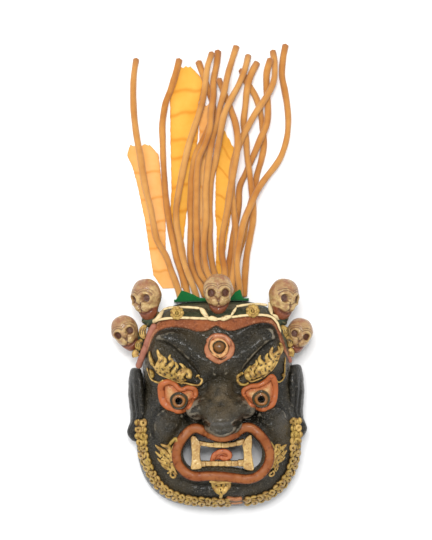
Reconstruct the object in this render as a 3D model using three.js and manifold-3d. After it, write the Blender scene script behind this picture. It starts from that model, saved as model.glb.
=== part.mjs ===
// A carved and painted wooden dance mask with a crown of five skulls, a green felt hair
// root, yellow cloth cords and cloth ribbons. It lies on its back rim with the face up:
// +Z is the way the face looks, +Y is towards the hair and X is across the face.
import * as THREE from "three";
import { mergeVertices } from "three/addons/utils/BufferGeometryUtils.js";
import Module from "manifold-3d";

const wasm = await Module();
wasm.setup();

// ---------------------------------------------------------------- driving dimensions (mm)
const FACE_X = 8; // the nose's own line, from the middle of the whole outline
const GAP = 0.35; // clear space kept between touching pieces

// rim of the mask: a squarish oval, longer above its middle line than below
const RIM = {
  x: -3.5,
  y: -213,
  jawHalf: 128.5,
  templeHalf: 117,
  up: 186,
  down: 130.5,
  upPower: 4,
  downPower: 3,
};
const DEPTH = 100; // from the rim's plane to the plain of the face
const WALL = 12; // wood at the rim
const FACE_WALL = 17; // wood under the plain of the face
const RIM_EDGE = 12; // height of the upright edge that the mask lies on

const CORD = { diameter: 10, sides: 8, stepInDiameters: 2.6 };
const RIBBON_THICKNESS = 1.6;

// ---------------------------------------------------------------- colours
const paint = (color, roughness = 0.6) =>
  new THREE.MeshStandardMaterial({ color, roughness, metalness: 0 });
const BLACK_PAINT = paint(0x3a3b37, 0.4);
const OLD_IVORY = paint(0xcdb078, 0.55);
const GREEN_FELT = paint(0x006e3c, 0.95);
const ORANGE_CLOTH = paint(0xe6a055, 0.9);
const YELLOW_CLOTH = paint(0xf2b845, 0.9);
const PALE_CLOTH = paint(0xf0c080, 0.9);

// ---------------------------------------------------------------- small helpers
const clamp = (v, lo, hi) => Math.min(hi, Math.max(lo, v));
const blend = (a, b, t) => a + (b - a) * t;
const ease = (lo, hi, v) => {
  const t = clamp((v - lo) / (hi - lo), 0, 1);
  return t * t * (3 - 2 * t);
};
const hill = (t) => (Math.abs(t) < 1 ? (1 - t * t) ** 2 : 0);

// how far (x, y) is from a chain of straight stretches
function distanceToPath(x, y, path, closed = false) {
  let best = Infinity;
  const count = closed ? path.length : path.length - 1;
  for (let i = 0; i < count; i++) {
    const [ax, ay] = path[i];
    const [bx, by] = path[(i + 1) % path.length];
    const along = (x - ax) * (bx - ax) + (y - ay) * (by - ay);
    const t = clamp(along / ((bx - ax) ** 2 + (by - ay) ** 2), 0, 1);
    best = Math.min(best, Math.hypot(x - blend(ax, bx, t), y - blend(ay, by, t)));
  }
  return best;
}
const ridge = (x, y, r) => r.height * hill(distanceToPath(x, y, r.path, r.closed) / r.width);
const dome = (x, y, d) => d.height * hill(Math.hypot((x - d.x) / d.rx, (y - d.y) / d.ry));

// a value read off a short list of [place, value] pairs
function readOff(pairs, at) {
  if (at <= pairs[0][0]) return pairs[0][1];
  for (let i = 1; i < pairs.length; i++) {
    const [a, va] = pairs[i - 1];
    const [b, vb] = pairs[i];
    if (at <= b) return blend(va, vb, (at - a) / (b - a));
  }
  return pairs[pairs.length - 1][1];
}

// ---------------------------------------------------------------- solids: joins and cuts
function solidOf(geometry) {
  const bare = geometry.clone();
  bare.deleteAttribute("normal");
  bare.deleteAttribute("uv");
  const merged = mergeVertices(bare, 1e-4);
  return new wasm.Manifold(
    new wasm.Mesh({
      numProp: 3,
      vertProperties: new Float32Array(merged.attributes.position.array),
      triVerts: new Uint32Array(merged.index.array),
    }),
  );
}

function geometryOf(solid) {
  const mesh = solid.getMesh();
  const geometry = new THREE.BufferGeometry();
  geometry.setAttribute("position", new THREE.BufferAttribute(mesh.vertProperties, 3));
  geometry.setIndex(new THREE.BufferAttribute(mesh.triVerts, 1));
  geometry.computeVertexNormals();
  return geometry;
}

function meshOf(name, geometry, material) {
  const mesh = new THREE.Mesh(geometry, material);
  mesh.name = name;
  return mesh;
}

// a sphere whose rows and columns are moved to where placeAt says
function shapedSphere(columns, rows, placeAt) {
  const geometry = new THREE.SphereGeometry(1, columns, rows);
  const position = geometry.attributes.position;
  for (let row = 0; row <= rows; row++) {
    for (let column = 0; column <= columns; column++) {
      const [x, y, z] = placeAt(row, column % columns);
      position.setXYZ(row * (columns + 1) + column, x, y, z);
    }
  }
  return geometry;
}

// ---------------------------------------------------------------- the carved face
// features are given for the right half and mirrored; y runs up the face
const BROW_ROLL = { path: [[9, -124], [38, -106], [64, -90], [94, -76]], width: 25, height: 13 };
const BROW_CREASE = {
  path: [[25, -135], [44, -120], [62, -105], [82, -93], [98, -86]],
  width: 9,
  height: -7,
};
const BROW = { path: [[30, -138], [53, -128], [74, -114], [96, -101]], width: 17, height: 10 };
const FROWN_LINE = { path: [[-16, -139], [0, -137], [16, -139]], width: 8, height: -8 };
const EYE_RIM = {
  path: [[89, -164], [82, -143], [67, -140], [49, -148], [35, -154], [38, -176], [51, -189], [68, -191],
    [84, -183]],
  closed: true,
  width: 8,
  height: 6,
};
const EYE_BALL = { x: 60, y: -170, rx: 27, ry: 24, height: 9 };
const EYE_HOLLOW = { x: 61, y: -166, rx: 42, ry: 36, height: -13 };
const NOSE = { top: -141, run: 50, bridgeHalf: 20, tipHalf: 29, bridgeRise: 11, slope: 28 };
// bulb, nostril wings, and the flanks that join the bridge to the wings
const NOSE_MASSES = [
  { x: 0, y: -194, rx: 29, ry: 28, height: 49 },
  { x: 34, y: -186, rx: 19, ry: 15.5, height: 34 },
  { x: 20, y: -181, rx: 25, ry: 18, height: 33 },
];
const NOSTRIL = { x: 22, y: -209, rx: 9, ry: 7, height: -12 };
const CHEEK = { x: 79, y: -208, rx: 30, ry: 31, height: 17 };
const CHEEK_CREASE = { path: [[54, -198], [64, -224], [88, -247]], width: 8, height: -5 };
const LIPS = {
  path: [[66, -247], [53, -223], [38, -214], [19, -223], [0, -229], [-19, -223], [-38, -214], [-53, -223],
    [-66, -247], [-61, -271], [-44, -283], [-20, -280], [0, -279], [22, -281], [46, -286], [62, -272]],
  closed: true,
  width: 10,
  height: 15,
};
const CHIN = { x: 0, y: -312, rx: 52, ry: 22, height: 8 };
const CHIN_CREASE = { path: [[-48, -300], [0, -295], [48, -301]], width: 8, height: -6 };
const THIRD_EYE = { x: 0, y: -94, ring: 17, ringWidth: 8, ringHeight: 5, ball: 14, ballHeight: 8 };

// the crown band's and the red band's lower edges, as shares of the rim, by the angle
// away from the top (degrees)
const CROWN_EDGE = [[0, 0.853], [6, 0.885], [16, 0.903], [27, 0.955], [34, 0.968], [60, 0.972]];
const RED_EDGE = [[0, 0.825], [7, 0.795], [18, 0.798], [29, 0.9], [36, 0.938], [54, 0.96]];
const CROWN_RISE = 8;
const RED_RISE = 3;
const CROWN_END = 57;
const BEARD = { inner: 0.86, outer: 0.985, rise: 4, from: 88, curls: 38, curlRise: 1.6 };

// from the face's middle to its rim along the unit direction (dx, dy)
function rimRadius(dx, dy, inset = 0) {
  const upper = dy >= 0;
  const half = blend(RIM.jawHalf, RIM.templeHalf, ease(0, 0.58, dy)) - inset;
  const size = (upper ? RIM.up : RIM.down) - inset;
  const power = upper ? blend(RIM.downPower, RIM.upPower, ease(0, 0.3, dy)) : RIM.downPower;
  return (Math.abs(dx / half) ** power + Math.abs(dy / size) ** power) ** (-1 / power);
}

// share of the way from the face's middle to its rim: 1 is the rim
function rimShare(x, y) {
  const away = Math.hypot(x - RIM.x, y - RIM.y);
  return away < 1e-6 ? 0 : away / rimRadius((x - RIM.x) / away, (y - RIM.y) / away);
}

function rimPoint(angle, share, inset = 0) {
  const radius = share * rimRadius(Math.cos(angle), Math.sin(angle), inset);
  return [RIM.x + radius * Math.cos(angle), RIM.y + radius * Math.sin(angle)];
}

// how round the face turns into its side walls: square at the crown, rounder at the jaw
function wallRise(x, y, share) {
  const up = clamp((y - RIM.y) / RIM.up, 0, 1);
  const power = blend(5.2, 26, ease(0.3, 0.85, up));
  return Math.sqrt(Math.max(0, 1 - Math.min(1, share) ** power));
}

// a saddle between the eyes that widens into a heavy bulb with spread wings
function noseRise(x, y) {
  const down = clamp((NOSE.top - y) / NOSE.run, 0, 1.3);
  const half = blend(NOSE.bridgeHalf, NOSE.tipHalf, ease(0.25, 1, down));
  const across = clamp(1 - Math.abs(x / half) ** 2.2, 0, 1) ** 0.6;
  const ends = ease(NOSE.top + 4, NOSE.top - 5, y) * ease(-216, -196, y);
  let sum = ((NOSE.bridgeRise + NOSE.slope * down) * across * ends) ** 3.4;
  for (const mass of NOSE_MASSES) {
    const away = ((Math.abs(x) - mass.x) / mass.rx) ** 2 + ((y - mass.y) / mass.ry) ** 2;
    sum += (mass.height * clamp(1 - away, 0, 1) ** 0.55) ** 3.4;
  }
  return sum ** (1 / 3.4);
}

// height of the carving's surface over the rim's plane
function faceHeight(x, y) {
  const side = Math.abs(x);
  const share = rimShare(x, y);
  const fromTop = THREE.MathUtils.radToDeg(Math.atan2(Math.abs(x - RIM.x), y - RIM.y));
  let rise = 0;
  rise += ridge(side, y, BROW_ROLL) + ridge(side, y, BROW_CREASE) + ridge(side, y, BROW);
  rise += ridge(x, y, FROWN_LINE) + ridge(x, y, CHIN_CREASE) + ridge(side, y, CHEEK_CREASE);
  rise += dome(side, y, EYE_HOLLOW) + ridge(side, y, EYE_RIM) + dome(side, y, EYE_BALL);
  const nose = noseRise(x, y);
  rise = rise * (1 - ease(0, 12, nose)) + nose + dome(side, y, NOSTRIL);
  rise += dome(side, y, CHEEK) + ridge(x, y, LIPS) + dome(x, y, CHIN);
  const eye = Math.hypot(x - THIRD_EYE.x, y - THIRD_EYE.y);
  rise += THIRD_EYE.ringHeight * hill((eye - THIRD_EYE.ring) / THIRD_EYE.ringWidth);
  rise += THIRD_EYE.ballHeight * hill(eye / THIRD_EYE.ball);
  if (fromTop < CROWN_END) {
    const crown = readOff(CROWN_EDGE, fromTop);
    const red = readOff(RED_EDGE, fromTop);
    rise = blend(rise, 0, ease(red - 0.06, red, share));
    rise += RED_RISE * ease(red - 0.02, red, share) + CROWN_RISE * ease(crown - 0.01, crown + 0.01, share);
  }
  const beard = hill((share - (BEARD.inner + BEARD.outer) / 2) / ((BEARD.outer - BEARD.inner) / 2));
  const curl = BEARD.curlRise * Math.sin(BEARD.curls * fromTop * 0.0349);
  if (fromTop > BEARD.from) rise += beard * (BEARD.rise + curl);
  return wallRise(x, y, share) * (DEPTH + rise);
}

// where the rows of the carved surface lie, from its middle to the rim
const OUTER_ROWS = [
  0.08, 0.17, 0.26, 0.34, 0.42, 0.49, 0.56, 0.63, 0.7, 0.77, 0.83, 0.88, 0.925, 0.96, 0.985,
];
const INNER_ROWS = [0.2, 0.4, 0.6, 0.76, 0.88, 0.95, 0.985];

function faceBody(grow) {
  const columns = 52;
  const rows = OUTER_ROWS.length + 3;
  return shapedSphere(columns, rows, (row, column) => {
    if (row === 0) return [RIM.x, RIM.y, faceHeight(RIM.x, RIM.y) + grow];
    if (row === rows) return [RIM.x, RIM.y, -grow];
    const share = row > OUTER_ROWS.length ? 1 : OUTER_ROWS[row - 1];
    const angle = (column / columns) * 2 * Math.PI;
    const [x, y] = rimPoint(angle, share);
    const [gx, gy] = rimPoint(angle, share, -grow);
    let height = faceHeight(x, y) + grow;
    if (row > OUTER_ROWS.length) height = row > OUTER_ROWS.length + 1 ? -grow : RIM_EDGE + grow;
    return [gx, gy, height];
  });
}

function hollow() {
  const columns = 36;
  const rows = INNER_ROWS.length + 2;
  const below = -10;
  return shapedSphere(columns, rows, (row, column) => {
    if (row === 0) return [RIM.x, RIM.y, DEPTH - FACE_WALL];
    if (row === rows) return [RIM.x, RIM.y, below];
    const share = row > INNER_ROWS.length ? 1 : INNER_ROWS[row - 1];
    const [x, y] = rimPoint((column / columns) * 2 * Math.PI, share, WALL);
    const height = row > INNER_ROWS.length ? below : (DEPTH - FACE_WALL) * wallRise(x, y, share ** 0.8);
    return [x, y, height];
  });
}

// ---------------------------------------------------------------- openings, teeth, tongue
const MOUTH = [[60, -250], [55, -236], [42, -225], [22, -231], [0, -236], [-22, -231], [-42, -225],
  [-55, -236],
  [-60, -250], [-56, -268], [-43, -273], [-24, -271], [0, -271], [24, -273], [44, -278], [57, -268]];
const PUPIL = { diameter: 11, x: 60, y: -171 };
const FANG = { x: 36, width: 14, topY: -222, bottomY: -282, backZ: 84, frontZ: 103 };
const UPPER_TEETH = { y: -238, height: 12, backZ: 88, frontZ: 100, sag: 3 };
const LOWER_TEETH = { y: -271, height: 12, backZ: 86, frontZ: 98, sag: 0 };
const TONGUE = { x: 1, y: -259, rx: 17, ry: 13, rz: 9, z: 90 };

function smoothOutline(points) {
  const curve = new THREE.CatmullRomCurve3(points.map(([x, y]) => new THREE.Vector3(x, y, 0)), true);
  const smooth = curve.getPoints(points.length * 2).slice(0, -1);
  return new THREE.Shape(smooth.map((p) => new THREE.Vector2(p.x, p.y)));
}

function upright(shape, bottom, top, curveSegments = 6) {
  const depth = top - bottom;
  const geometry = new THREE.ExtrudeGeometry(shape, { depth, bevelEnabled: false, curveSegments });
  return solidOf(geometry.translate(0, 0, bottom));
}

function pupilHole(side) {
  const drill = new THREE.CylinderGeometry(PUPIL.diameter / 2, PUPIL.diameter / 2, 160, 14);
  drill.rotateX(Math.PI / 2).translate(side * PUPIL.x, PUPIL.y, 100);
  return solidOf(drill);
}

// a fang is a post, thicker where it leaves each gum
function fang(side) {
  const half = FANG.width / 2;
  const middle = (FANG.topY + FANG.bottomY) / 2;
  const shape = new THREE.Shape();
  shape.moveTo(-half, FANG.bottomY);
  shape.lineTo(half, FANG.bottomY);
  shape.quadraticCurveTo(half - 4, middle, half, FANG.topY);
  shape.lineTo(-half, FANG.topY);
  shape.quadraticCurveTo(4 - half, middle, -half, FANG.bottomY);
  return upright(shape, FANG.backZ, FANG.frontZ).translate([side * FANG.x, 0, 0]);
}

function toothRow(row) {
  const reach = FANG.x;
  const steps = 12;
  const shape = new THREE.Shape();
  const lineTo = (i, up) => {
    const x = blend(-reach, reach, i / steps);
    shape.lineTo(x, row.y + up * (row.height / 2) - row.sag * (1 - (x / reach) ** 2));
  };
  shape.moveTo(-reach, row.y - row.height / 2);
  for (let i = 1; i <= steps; i++) lineTo(i, -1);
  for (let i = steps; i >= 0; i--) lineTo(i, 1);
  return upright(shape, row.backZ, row.frontZ);
}

function tongue() {
  const geometry = new THREE.SphereGeometry(1, 14, 8);
  return solidOf(geometry.scale(TONGUE.rx, TONGUE.ry, TONGUE.rz).translate(TONGUE.x, TONGUE.y, TONGUE.z));
}

// ---------------------------------------------------------------- ears and rosettes
// long ears, seen edge-on from the front, with the lobe low down
const EARS = [
  { side: -1, x: -128, y: -181, z: 44 },
  { side: 1, x: 116, y: -181, z: 44 },
];
const EAR = { thick: 9, tall: 56, deep: 27, flare: 0.32, lobe: 5, conch: 5 };

function ear({ side, x, y, z }) {
  const columns = 12;
  const rows = 9;
  const geometry = shapedSphere(columns, rows, (row, column) => {
    const down = Math.cos((row / rows) * Math.PI);
    const around = (column / columns) * 2 * Math.PI;
    const ring = Math.sin((row / rows) * Math.PI) ** 0.7;
    const outward = Math.cos(around) * ring;
    const forward = Math.sin(around) * ring;
    const lobe = EAR.lobe * hill((down + 0.68) / 0.4);
    const conch = EAR.conch * hill(down / 0.7) * hill(forward / 0.75) * Math.max(0, side * outward);
    return [outward * EAR.thick + side * (lobe - conch), forward * EAR.deep, down * EAR.tall];
  });
  geometry.rotateX(-Math.PI / 2).rotateY(-side * EAR.flare);
  return solidOf(geometry.translate(x, y, z));
}

const ROSETTES = [{ x: -62, y: -41 }, { x: 51, y: -40 }];
const ROSETTE = { radius: 9.5, petals: 8, petalRise: 1.5, backZ: 82, frontZ: 108, boss: 4 };

function rosette({ x, y }) {
  const shape = new THREE.Shape();
  const steps = ROSETTE.petals * 3;
  for (let i = 0; i < steps; i++) {
    const angle = (i / steps) * 2 * Math.PI;
    const radius = ROSETTE.radius + ROSETTE.petalRise * Math.cos(ROSETTE.petals * angle);
    if (i === 0) shape.moveTo(radius * Math.cos(angle), radius * Math.sin(angle));
    else shape.lineTo(radius * Math.cos(angle), radius * Math.sin(angle));
  }
  const disc = upright(shape, ROSETTE.backZ, ROSETTE.frontZ);
  const boss = solidOf(new THREE.SphereGeometry(ROSETTE.boss, 6, 4).translate(0, 0, ROSETTE.frontZ));
  return disc.add(boss).translate([x, y, 0]);
}

// carved leaf cups on the crown's edge that the skulls sit in
const CUPS = [
  { x: 0, y: -40, z: 88, rx: 17, ry: 9, rz: 14 },
  { x: -101.5, y: -49, z: 74, rx: 15, ry: 15, rz: 14 },
  { x: 90, y: -53, z: 74, rx: 15, ry: 15, rz: 14 },
  { x: -117.5, y: -86, z: 60, rx: 13, ry: 17, rz: 14 },
  { x: 102, y: -92, z: 60, rx: 13, ry: 17, rz: 14 },
];

function cup({ x, y, z, rx, ry, rz }, grow) {
  const geometry = new THREE.SphereGeometry(1, 8, 6);
  return solidOf(geometry.scale(rx + grow, ry + grow, rz + grow).translate(x, y, z));
}

// the face with its crown and cups, before it is hollowed
function blockSolid(grow) {
  let solid = solidOf(faceBody(grow));
  for (const place of CUPS) solid = solid.add(cup(place, grow));
  return solid;
}

function maskSolid() {
  let solid = blockSolid(0);
  for (const place of EARS) solid = solid.add(ear(place));
  for (const place of ROSETTES) solid = solid.add(rosette(place));
  solid = solid.subtract(solidOf(hollow()));
  solid = solid.subtract(upright(smoothOutline(MOUTH), 20, 180));
  for (const side of [-1, 1]) solid = solid.subtract(pupilHole(side)).add(fang(side));
  return solid.add(toothRow(UPPER_TEETH)).add(toothRow(LOWER_TEETH)).add(tongue());
}

// ---------------------------------------------------------------- skulls of the crown
const SKULL = { half: 23, tall: 30, deep: 22, jaw: 0.6, socket: 5.6, socketX: 10, socketY: 1 };
const SKULLS = [
  { name: "skull_centre", x: 0, y: -14, z: 98, lean: 0, turn: 0, size: 1.01 },
  { name: "skull_upper_left", x: -107.5, y: -20, z: 84, lean: 6, turn: -34, size: 1.04 },
  { name: "skull_upper_right", x: 98, y: -24, z: 84, lean: -8, turn: 36, size: 1.04 },
  { name: "skull_lower_left", x: -140.5, y: -71, z: 66, lean: 22, turn: -8, size: 0.94 },
  { name: "skull_lower_right", x: 120.5, y: -80, z: 66, lean: -18, turn: 8, size: 0.9 },
];

// one skull, its face towards +Z and its crown towards +Y
function skullSolid() {
  const columns = 12;
  const rows = 8;
  const geometry = shapedSphere(columns, rows, (row, column) => {
    const up = Math.cos((row / rows) * Math.PI);
    const around = (column / columns) * 2 * Math.PI;
    const ring = Math.sin((row / rows) * Math.PI) ** 0.8;
    const narrow = blend(1, SKULL.jaw, ease(0.15, -0.6, up));
    const x = Math.cos(around) * ring * SKULL.half * narrow;
    const z = Math.sin(around) * ring * SKULL.deep * blend(1, 0.72, ease(0.2, -0.7, up));
    return [x, z, up * SKULL.tall];
  });
  let solid = solidOf(geometry.rotateX(-Math.PI / 2));
  for (const side of [-1, 1]) {
    const eye = new THREE.SphereGeometry(SKULL.socket, 8, 6);
    solid = solid.subtract(solidOf(eye.translate(side * SKULL.socketX, SKULL.socketY, SKULL.deep - 3)));
  }
  return solid;
}

function placedSkull({ x, y, z, lean, turn, size }, block) {
  const turned = skullSolid().scale(size).rotate([0, turn, 0]).rotate([0, 0, lean]);
  return turned.translate([x, y, z]).subtract(block);
}

// ---------------------------------------------------------------- hair root, cords, ribbons
// the felt is folded over the cords' ends: a back against the crown and a flap above them
const FELT = { left: -60, right: 55, front: -26.4, back: -10, thick: 1.7, tall: 30 };

function feltRoot() {
  const shape = new THREE.Shape();
  const { front, back, thick, tall } = FELT;
  shape.moveTo(front, 0);
  shape.lineTo(front + thick, 0);
  shape.lineTo(front + thick, tall - 2 * thick);
  shape.quadraticCurveTo(front + thick, tall - thick, front + 2 * thick, tall - thick);
  shape.lineTo(back, tall - thick);
  shape.lineTo(back, tall);
  shape.lineTo(front + 2 * thick, tall);
  shape.quadraticCurveTo(front, tall, front, tall - 2 * thick);
  const depth = FELT.right - FELT.left;
  const geometry = new THREE.ExtrudeGeometry(shape, { depth, bevelEnabled: false, curveSegments: 3 });
  return geometry.rotateX(Math.PI / 2).rotateZ(Math.PI / 2).translate(FELT.left, 0, 0);
}

// each cord's line from the hair root to its free end: x, y and the height of its middle
const CORDS = {
  cord_01: [
    [-52, -22, 7.5], [-51, -18, 7.5], [-55, -3, 7.5], [-63, 21, 7.5], [-71, 44, 7.5], [-85, 71, 7.5],
    [-90, 96, 7.5], [-94, 120, 7.5], [-100, 145, 7.5], [-104, 170, 7.5], [-108, 200, 7.5], [-112, 224, 7.5],
    [-115, 249, 7], [-117, 274, 6.5], [-117, 305, 6], [-115, 330, 6], [-111, 354, 5.5],
  ],
  cord_02: [
    [-40, -22, 7.5], [-39, -18, 7.5], [-42, -3, 7.5], [-49, 21, 7.5], [-56, 45, 7.5], [-61, 70, 7.5],
    [-66, 100, 7.5], [-69, 125, 7.5], [-71, 150, 7], [-72, 175, 7], [-73, 200, 7], [-73, 225, 7],
    [-73, 250, 7], [-68, 280, 7.5], [-59, 303, 7.5], [-51, 327, 7.5], [-44, 352, 5.5],
  ],
  cord_03: [
    [-27, -22, 7.5], [-26, -18, 7.5], [-30, -4, 13.5], [-39, 20, 16], [-46, 44, 16], [-50, 68, 14.5],
    [-54, 93, 13.5], [-54, 118, 12], [-50, 143, 11], [-45, 167, 11], [-39, 192, 11], [-33, 216, 12],
    [-25, 239, 13.5], [-16, 263, 15], [-9, 287, 17.5], [-5, 311, 20], [-1, 336, 18.5], [7, 360, 16],
  ],
  cord_04: [
    [-14, -22, 7.5], [-13, -18, 7.5], [-18, -3, 7.5], [-29, 19, 7], [-34, 43, 7], [-33, 74, 7],
    [-32, 99, 7.5], [-32, 124, 8], [-30, 149, 8.5], [-28, 174, 9], [-21, 203, 9.5], [-9, 225, 8.5],
    [1, 248, 7.5], [7, 271, 7.5], [0, 300, 6.5], [-8, 324, 7.5], [-16, 348, 5.5],
  ],
  cord_05: [
    [-2, -22, 7.5], [-1, -18, 7.5], [-4, -3, 11], [-18, 17, 15.5], [-23, 41, 15], [-23, 66, 15],
    [-23, 91, 15.5], [-23, 116, 16.5], [-22, 141, 17.5], [-21, 165, 18.5], [-17, 195, 20.5], [-7, 217, 21.5],
    [1, 241, 23], [3, 266, 22], [7, 290, 18.5], [8, 315, 12], [13, 340, 8.5], [16, 364, 5.5],
  ],
  cord_06: [
    [4, -22, 20], [5, -18, 20], [2, -3, 22], [-8, 20, 22.5], [-12, 45, 21], [-12, 70, 20],
    [-9, 95, 18.5], [-8, 120, 17.5], [-8, 145, 17], [-5, 170, 17], [-1, 200, 15], [4, 225, 12.5],
    [12, 249, 15], [17, 273, 19.5], [24, 297, 27], [30, 322, 21.5], [37, 346, 13.5], [45, 370, 5.5],
  ],
  cord_07: [
    [10, -22, 7.5], [11, -18, 7.5], [9, -3, 7.5], [2, 21, 7.5], [-2, 46, 7], [-3, 71, 7],
    [-2, 96, 6.5], [-2, 121, 6.5], [-1, 146, 6.5], [2, 171, 7], [8, 190, 9.5], [13, 215, 17.5],
    [18, 239, 23.5], [24, 263, 25.5], [35, 286, 24.5], [47, 308, 20.5], [57, 332, 16.5], [63, 355, 5.5],
  ],
  cord_08: [
    [16, -22, 20], [16, -18, 20], [17, -3, 20], [19, 22, 20], [15, 47, 20.5], [16, 71, 21.5],
    [21, 96, 23], [26, 120, 25], [30, 145, 26], [36, 174, 27], [41, 199, 28], [43, 223, 28.5],
    [40, 248, 21], [33, 271, 14.5], [24, 295, 13.5], [15, 318, 22.5],
  ],
  cord_09: [
    [23, -22, 7.5], [23, -18, 7.5], [23, -3, 7.5], [25, 22, 8], [29, 47, 7.5], [34, 76, 6],
    [39, 101, 5.5], [43, 125, 5.5], [45, 150, 5.5], [55, 172, 5.5], [68, 200, 9], [78, 222, 16.5],
    [88, 245, 16.5], [91, 270, 12.5], [90, 299, 10.5], [90, 324, 15], [97, 348, 20],
  ],
  cord_10: [
    [36, -22, 7.5], [35, -17, 7.5], [36, -2, 7], [37, 23, 5.5], [41, 47, 5.5], [49, 71, 5.5],
    [53, 95, 5.5], [60, 119, 5.5], [67, 143, 5.5], [72, 168, 5.5], [79, 191, 5.5], [84, 216, 5.5],
    [82, 241, 5.5], [79, 266, 5.5], [72, 290, 5.5], [60, 311, 5.5], [50, 334, 5.5],
  ],
  cord_11: [
    [29, -22, 20], [28, -18, 20], [30, -3, 18.5], [33, 22, 17.5], [37, 47, 17.5], [38, 72, 18],
    [36, 101, 17.5], [34, 126, 15], [33, 151, 14], [34, 176, 14.5], [40, 200, 15.5], [49, 223, 17.5],
    [61, 245, 20], [74, 266, 21], [91, 291, 22.5], [101, 313, 18], [103, 338, 12], [100, 362, 5.5],
  ],
  cord_12: [
    [48, -22, 7.5], [48, -18, 7.5], [49, -3, 8.5], [51, 22, 10], [54, 47, 11.5], [59, 71, 13.5],
    [64, 96, 15.5], [65, 120, 17], [63, 145, 17.5], [60, 175, 18], [57, 200, 15.5], [56, 225, 7],
    [53, 249, 9], [56, 274, 12.5], [59, 299, 16.5], [66, 323, 13.5], [77, 344, 5.5],
  ],
  cord_13: [
    [42, -22, 20], [42, -17, 20], [41, -3, 23.5], [38, 22, 29], [39, 47, 30], [44, 72, 30],
    [50, 96, 30], [60, 119, 30], [71, 142, 28], [85, 162, 23], [101, 182, 18.5], [111, 199, 15],
    [119, 223, 12], [122, 248, 9.5], [121, 273, 8], [118, 297, 6.5], [114, 322, 6], [116, 347, 5.5],
    [121, 371, 5.5],
  ],
};

function cordGeometry(route) {
  const curve = new THREE.CatmullRomCurve3(route.map((p) => new THREE.Vector3(...p)));
  const shape = new THREE.Shape();
  for (let i = 0; i < CORD.sides; i++) {
    const angle = ((i + 0.5) / CORD.sides) * 2 * Math.PI;
    const corner = [(CORD.diameter / 2) * Math.cos(angle), (CORD.diameter / 2) * Math.sin(angle)];
    if (i === 0) shape.moveTo(...corner);
    else shape.lineTo(...corner);
  }
  const steps = Math.round(curve.getLength() / (CORD.diameter * CORD.stepInDiameters));
  return new THREE.ExtrudeGeometry(shape, { steps, bevelEnabled: false, extrudePath: curve });
}

// each ribbon is a flat strip of cloth under the cords, given by its two long edges from
// the hair root outwards
const RIBBONS = {
  ribbon_left: {
    left: [[-78, -5], [-92, 16], [-98, 60], [-103, 100], [-114, 157], [-121, 185], [-129, 203],
      [-124, 218]],
    right: [[-59, -5], [-66, 16], [-72, 60], [-71, 100], [-76, 157], [-78, 185], [-80, 203], [-93, 219]],
    material: PALE_CLOTH,
  },
  ribbon_tall: {
    left: [[-49, -5], [-54, 30], [-60, 60], [-64, 109], [-61, 150], [-61, 230], [-60, 318], [-50, 337]],
    right: [[-36, -5], [-38, 30], [-44, 70], [-39, 108], [-31, 150], [-23.5, 190], [-17, 240], [-16, 281],
      [-7, 317], [-28, 339]],
    material: YELLOW_CLOTH,
  },
  ribbon_middle: {
    left: [[-23, -5], [-24, 60], [-24, 130], [-22, 190], [-16, 225], [-16, 250], [-15, 279]],
    right: [[-10, -5], [-10, 60], [-10, 130], [-8, 190], [2, 225], [4, 250], [5, 278]],
    material: PALE_CLOTH,
  },
  ribbon_right: {
    left: [[2, -5], [5, 22], [8, 84], [6, 107], [8, 162], [11, 208], [21, 242]],
    right: [[13, -5], [16, 22], [26, 84], [30, 107], [37, 146], [38, 190], [38, 209]],
    material: YELLOW_CLOTH,
  },
};

function ribbonGeometry({ left, right }) {
  const outline = [...right, ...[...left].reverse()];
  const shape = new THREE.Shape(outline.map(([x, y]) => new THREE.Vector2(x, y)));
  return new THREE.ExtrudeGeometry(shape, { depth: RIBBON_THICKNESS, bevelEnabled: false });
}

// ---------------------------------------------------------------- the whole mask
const maskAndHair = new THREE.Group();
const face = new THREE.Group();
face.position.set(FACE_X, 0, 0);
face.add(meshOf("mask", geometryOf(maskSolid()), BLACK_PAINT));
const block = blockSolid(GAP);
for (const skull of SKULLS) face.add(meshOf(skull.name, geometryOf(placedSkull(skull, block)), OLD_IVORY));
maskAndHair.add(face);
maskAndHair.add(meshOf("hair_felt", feltRoot(), GREEN_FELT));
for (const [name, route] of Object.entries(CORDS)) {
  maskAndHair.add(meshOf(name, cordGeometry(route), ORANGE_CLOTH));
}
for (const [name, ribbon] of Object.entries(RIBBONS)) {
  maskAndHair.add(meshOf(name, ribbonGeometry(ribbon), ribbon.material));
}

export default maskAndHair;
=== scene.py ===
import math
import random

import bmesh
import bpy
import numpy as np
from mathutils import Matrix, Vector


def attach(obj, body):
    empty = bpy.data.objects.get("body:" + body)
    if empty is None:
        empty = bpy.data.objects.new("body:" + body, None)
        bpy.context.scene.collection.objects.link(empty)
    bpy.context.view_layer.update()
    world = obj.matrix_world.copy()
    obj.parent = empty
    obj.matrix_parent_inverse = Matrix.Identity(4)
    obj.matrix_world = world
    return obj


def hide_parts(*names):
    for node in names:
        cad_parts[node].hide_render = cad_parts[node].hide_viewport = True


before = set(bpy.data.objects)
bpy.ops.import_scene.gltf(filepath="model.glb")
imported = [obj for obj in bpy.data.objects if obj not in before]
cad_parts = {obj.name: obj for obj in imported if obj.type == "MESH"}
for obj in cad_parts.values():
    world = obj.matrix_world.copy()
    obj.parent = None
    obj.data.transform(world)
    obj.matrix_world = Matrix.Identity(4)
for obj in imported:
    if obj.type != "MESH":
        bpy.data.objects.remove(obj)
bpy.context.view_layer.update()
MM = 0.001

# The mask lies on its back rim with the face up, so the camera looks straight down on it, turned
# by a degree or so.
camera = bpy.data.objects.new("camera", bpy.data.cameras.new("camera"))
bpy.context.collection.objects.link(camera)
camera.location = (0.0055, 0.022, 2.6)
camera.rotation_euler = (0, 0, math.radians(-1.2))
camera.data.lens = 111.56
bpy.context.scene.camera = camera

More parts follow.
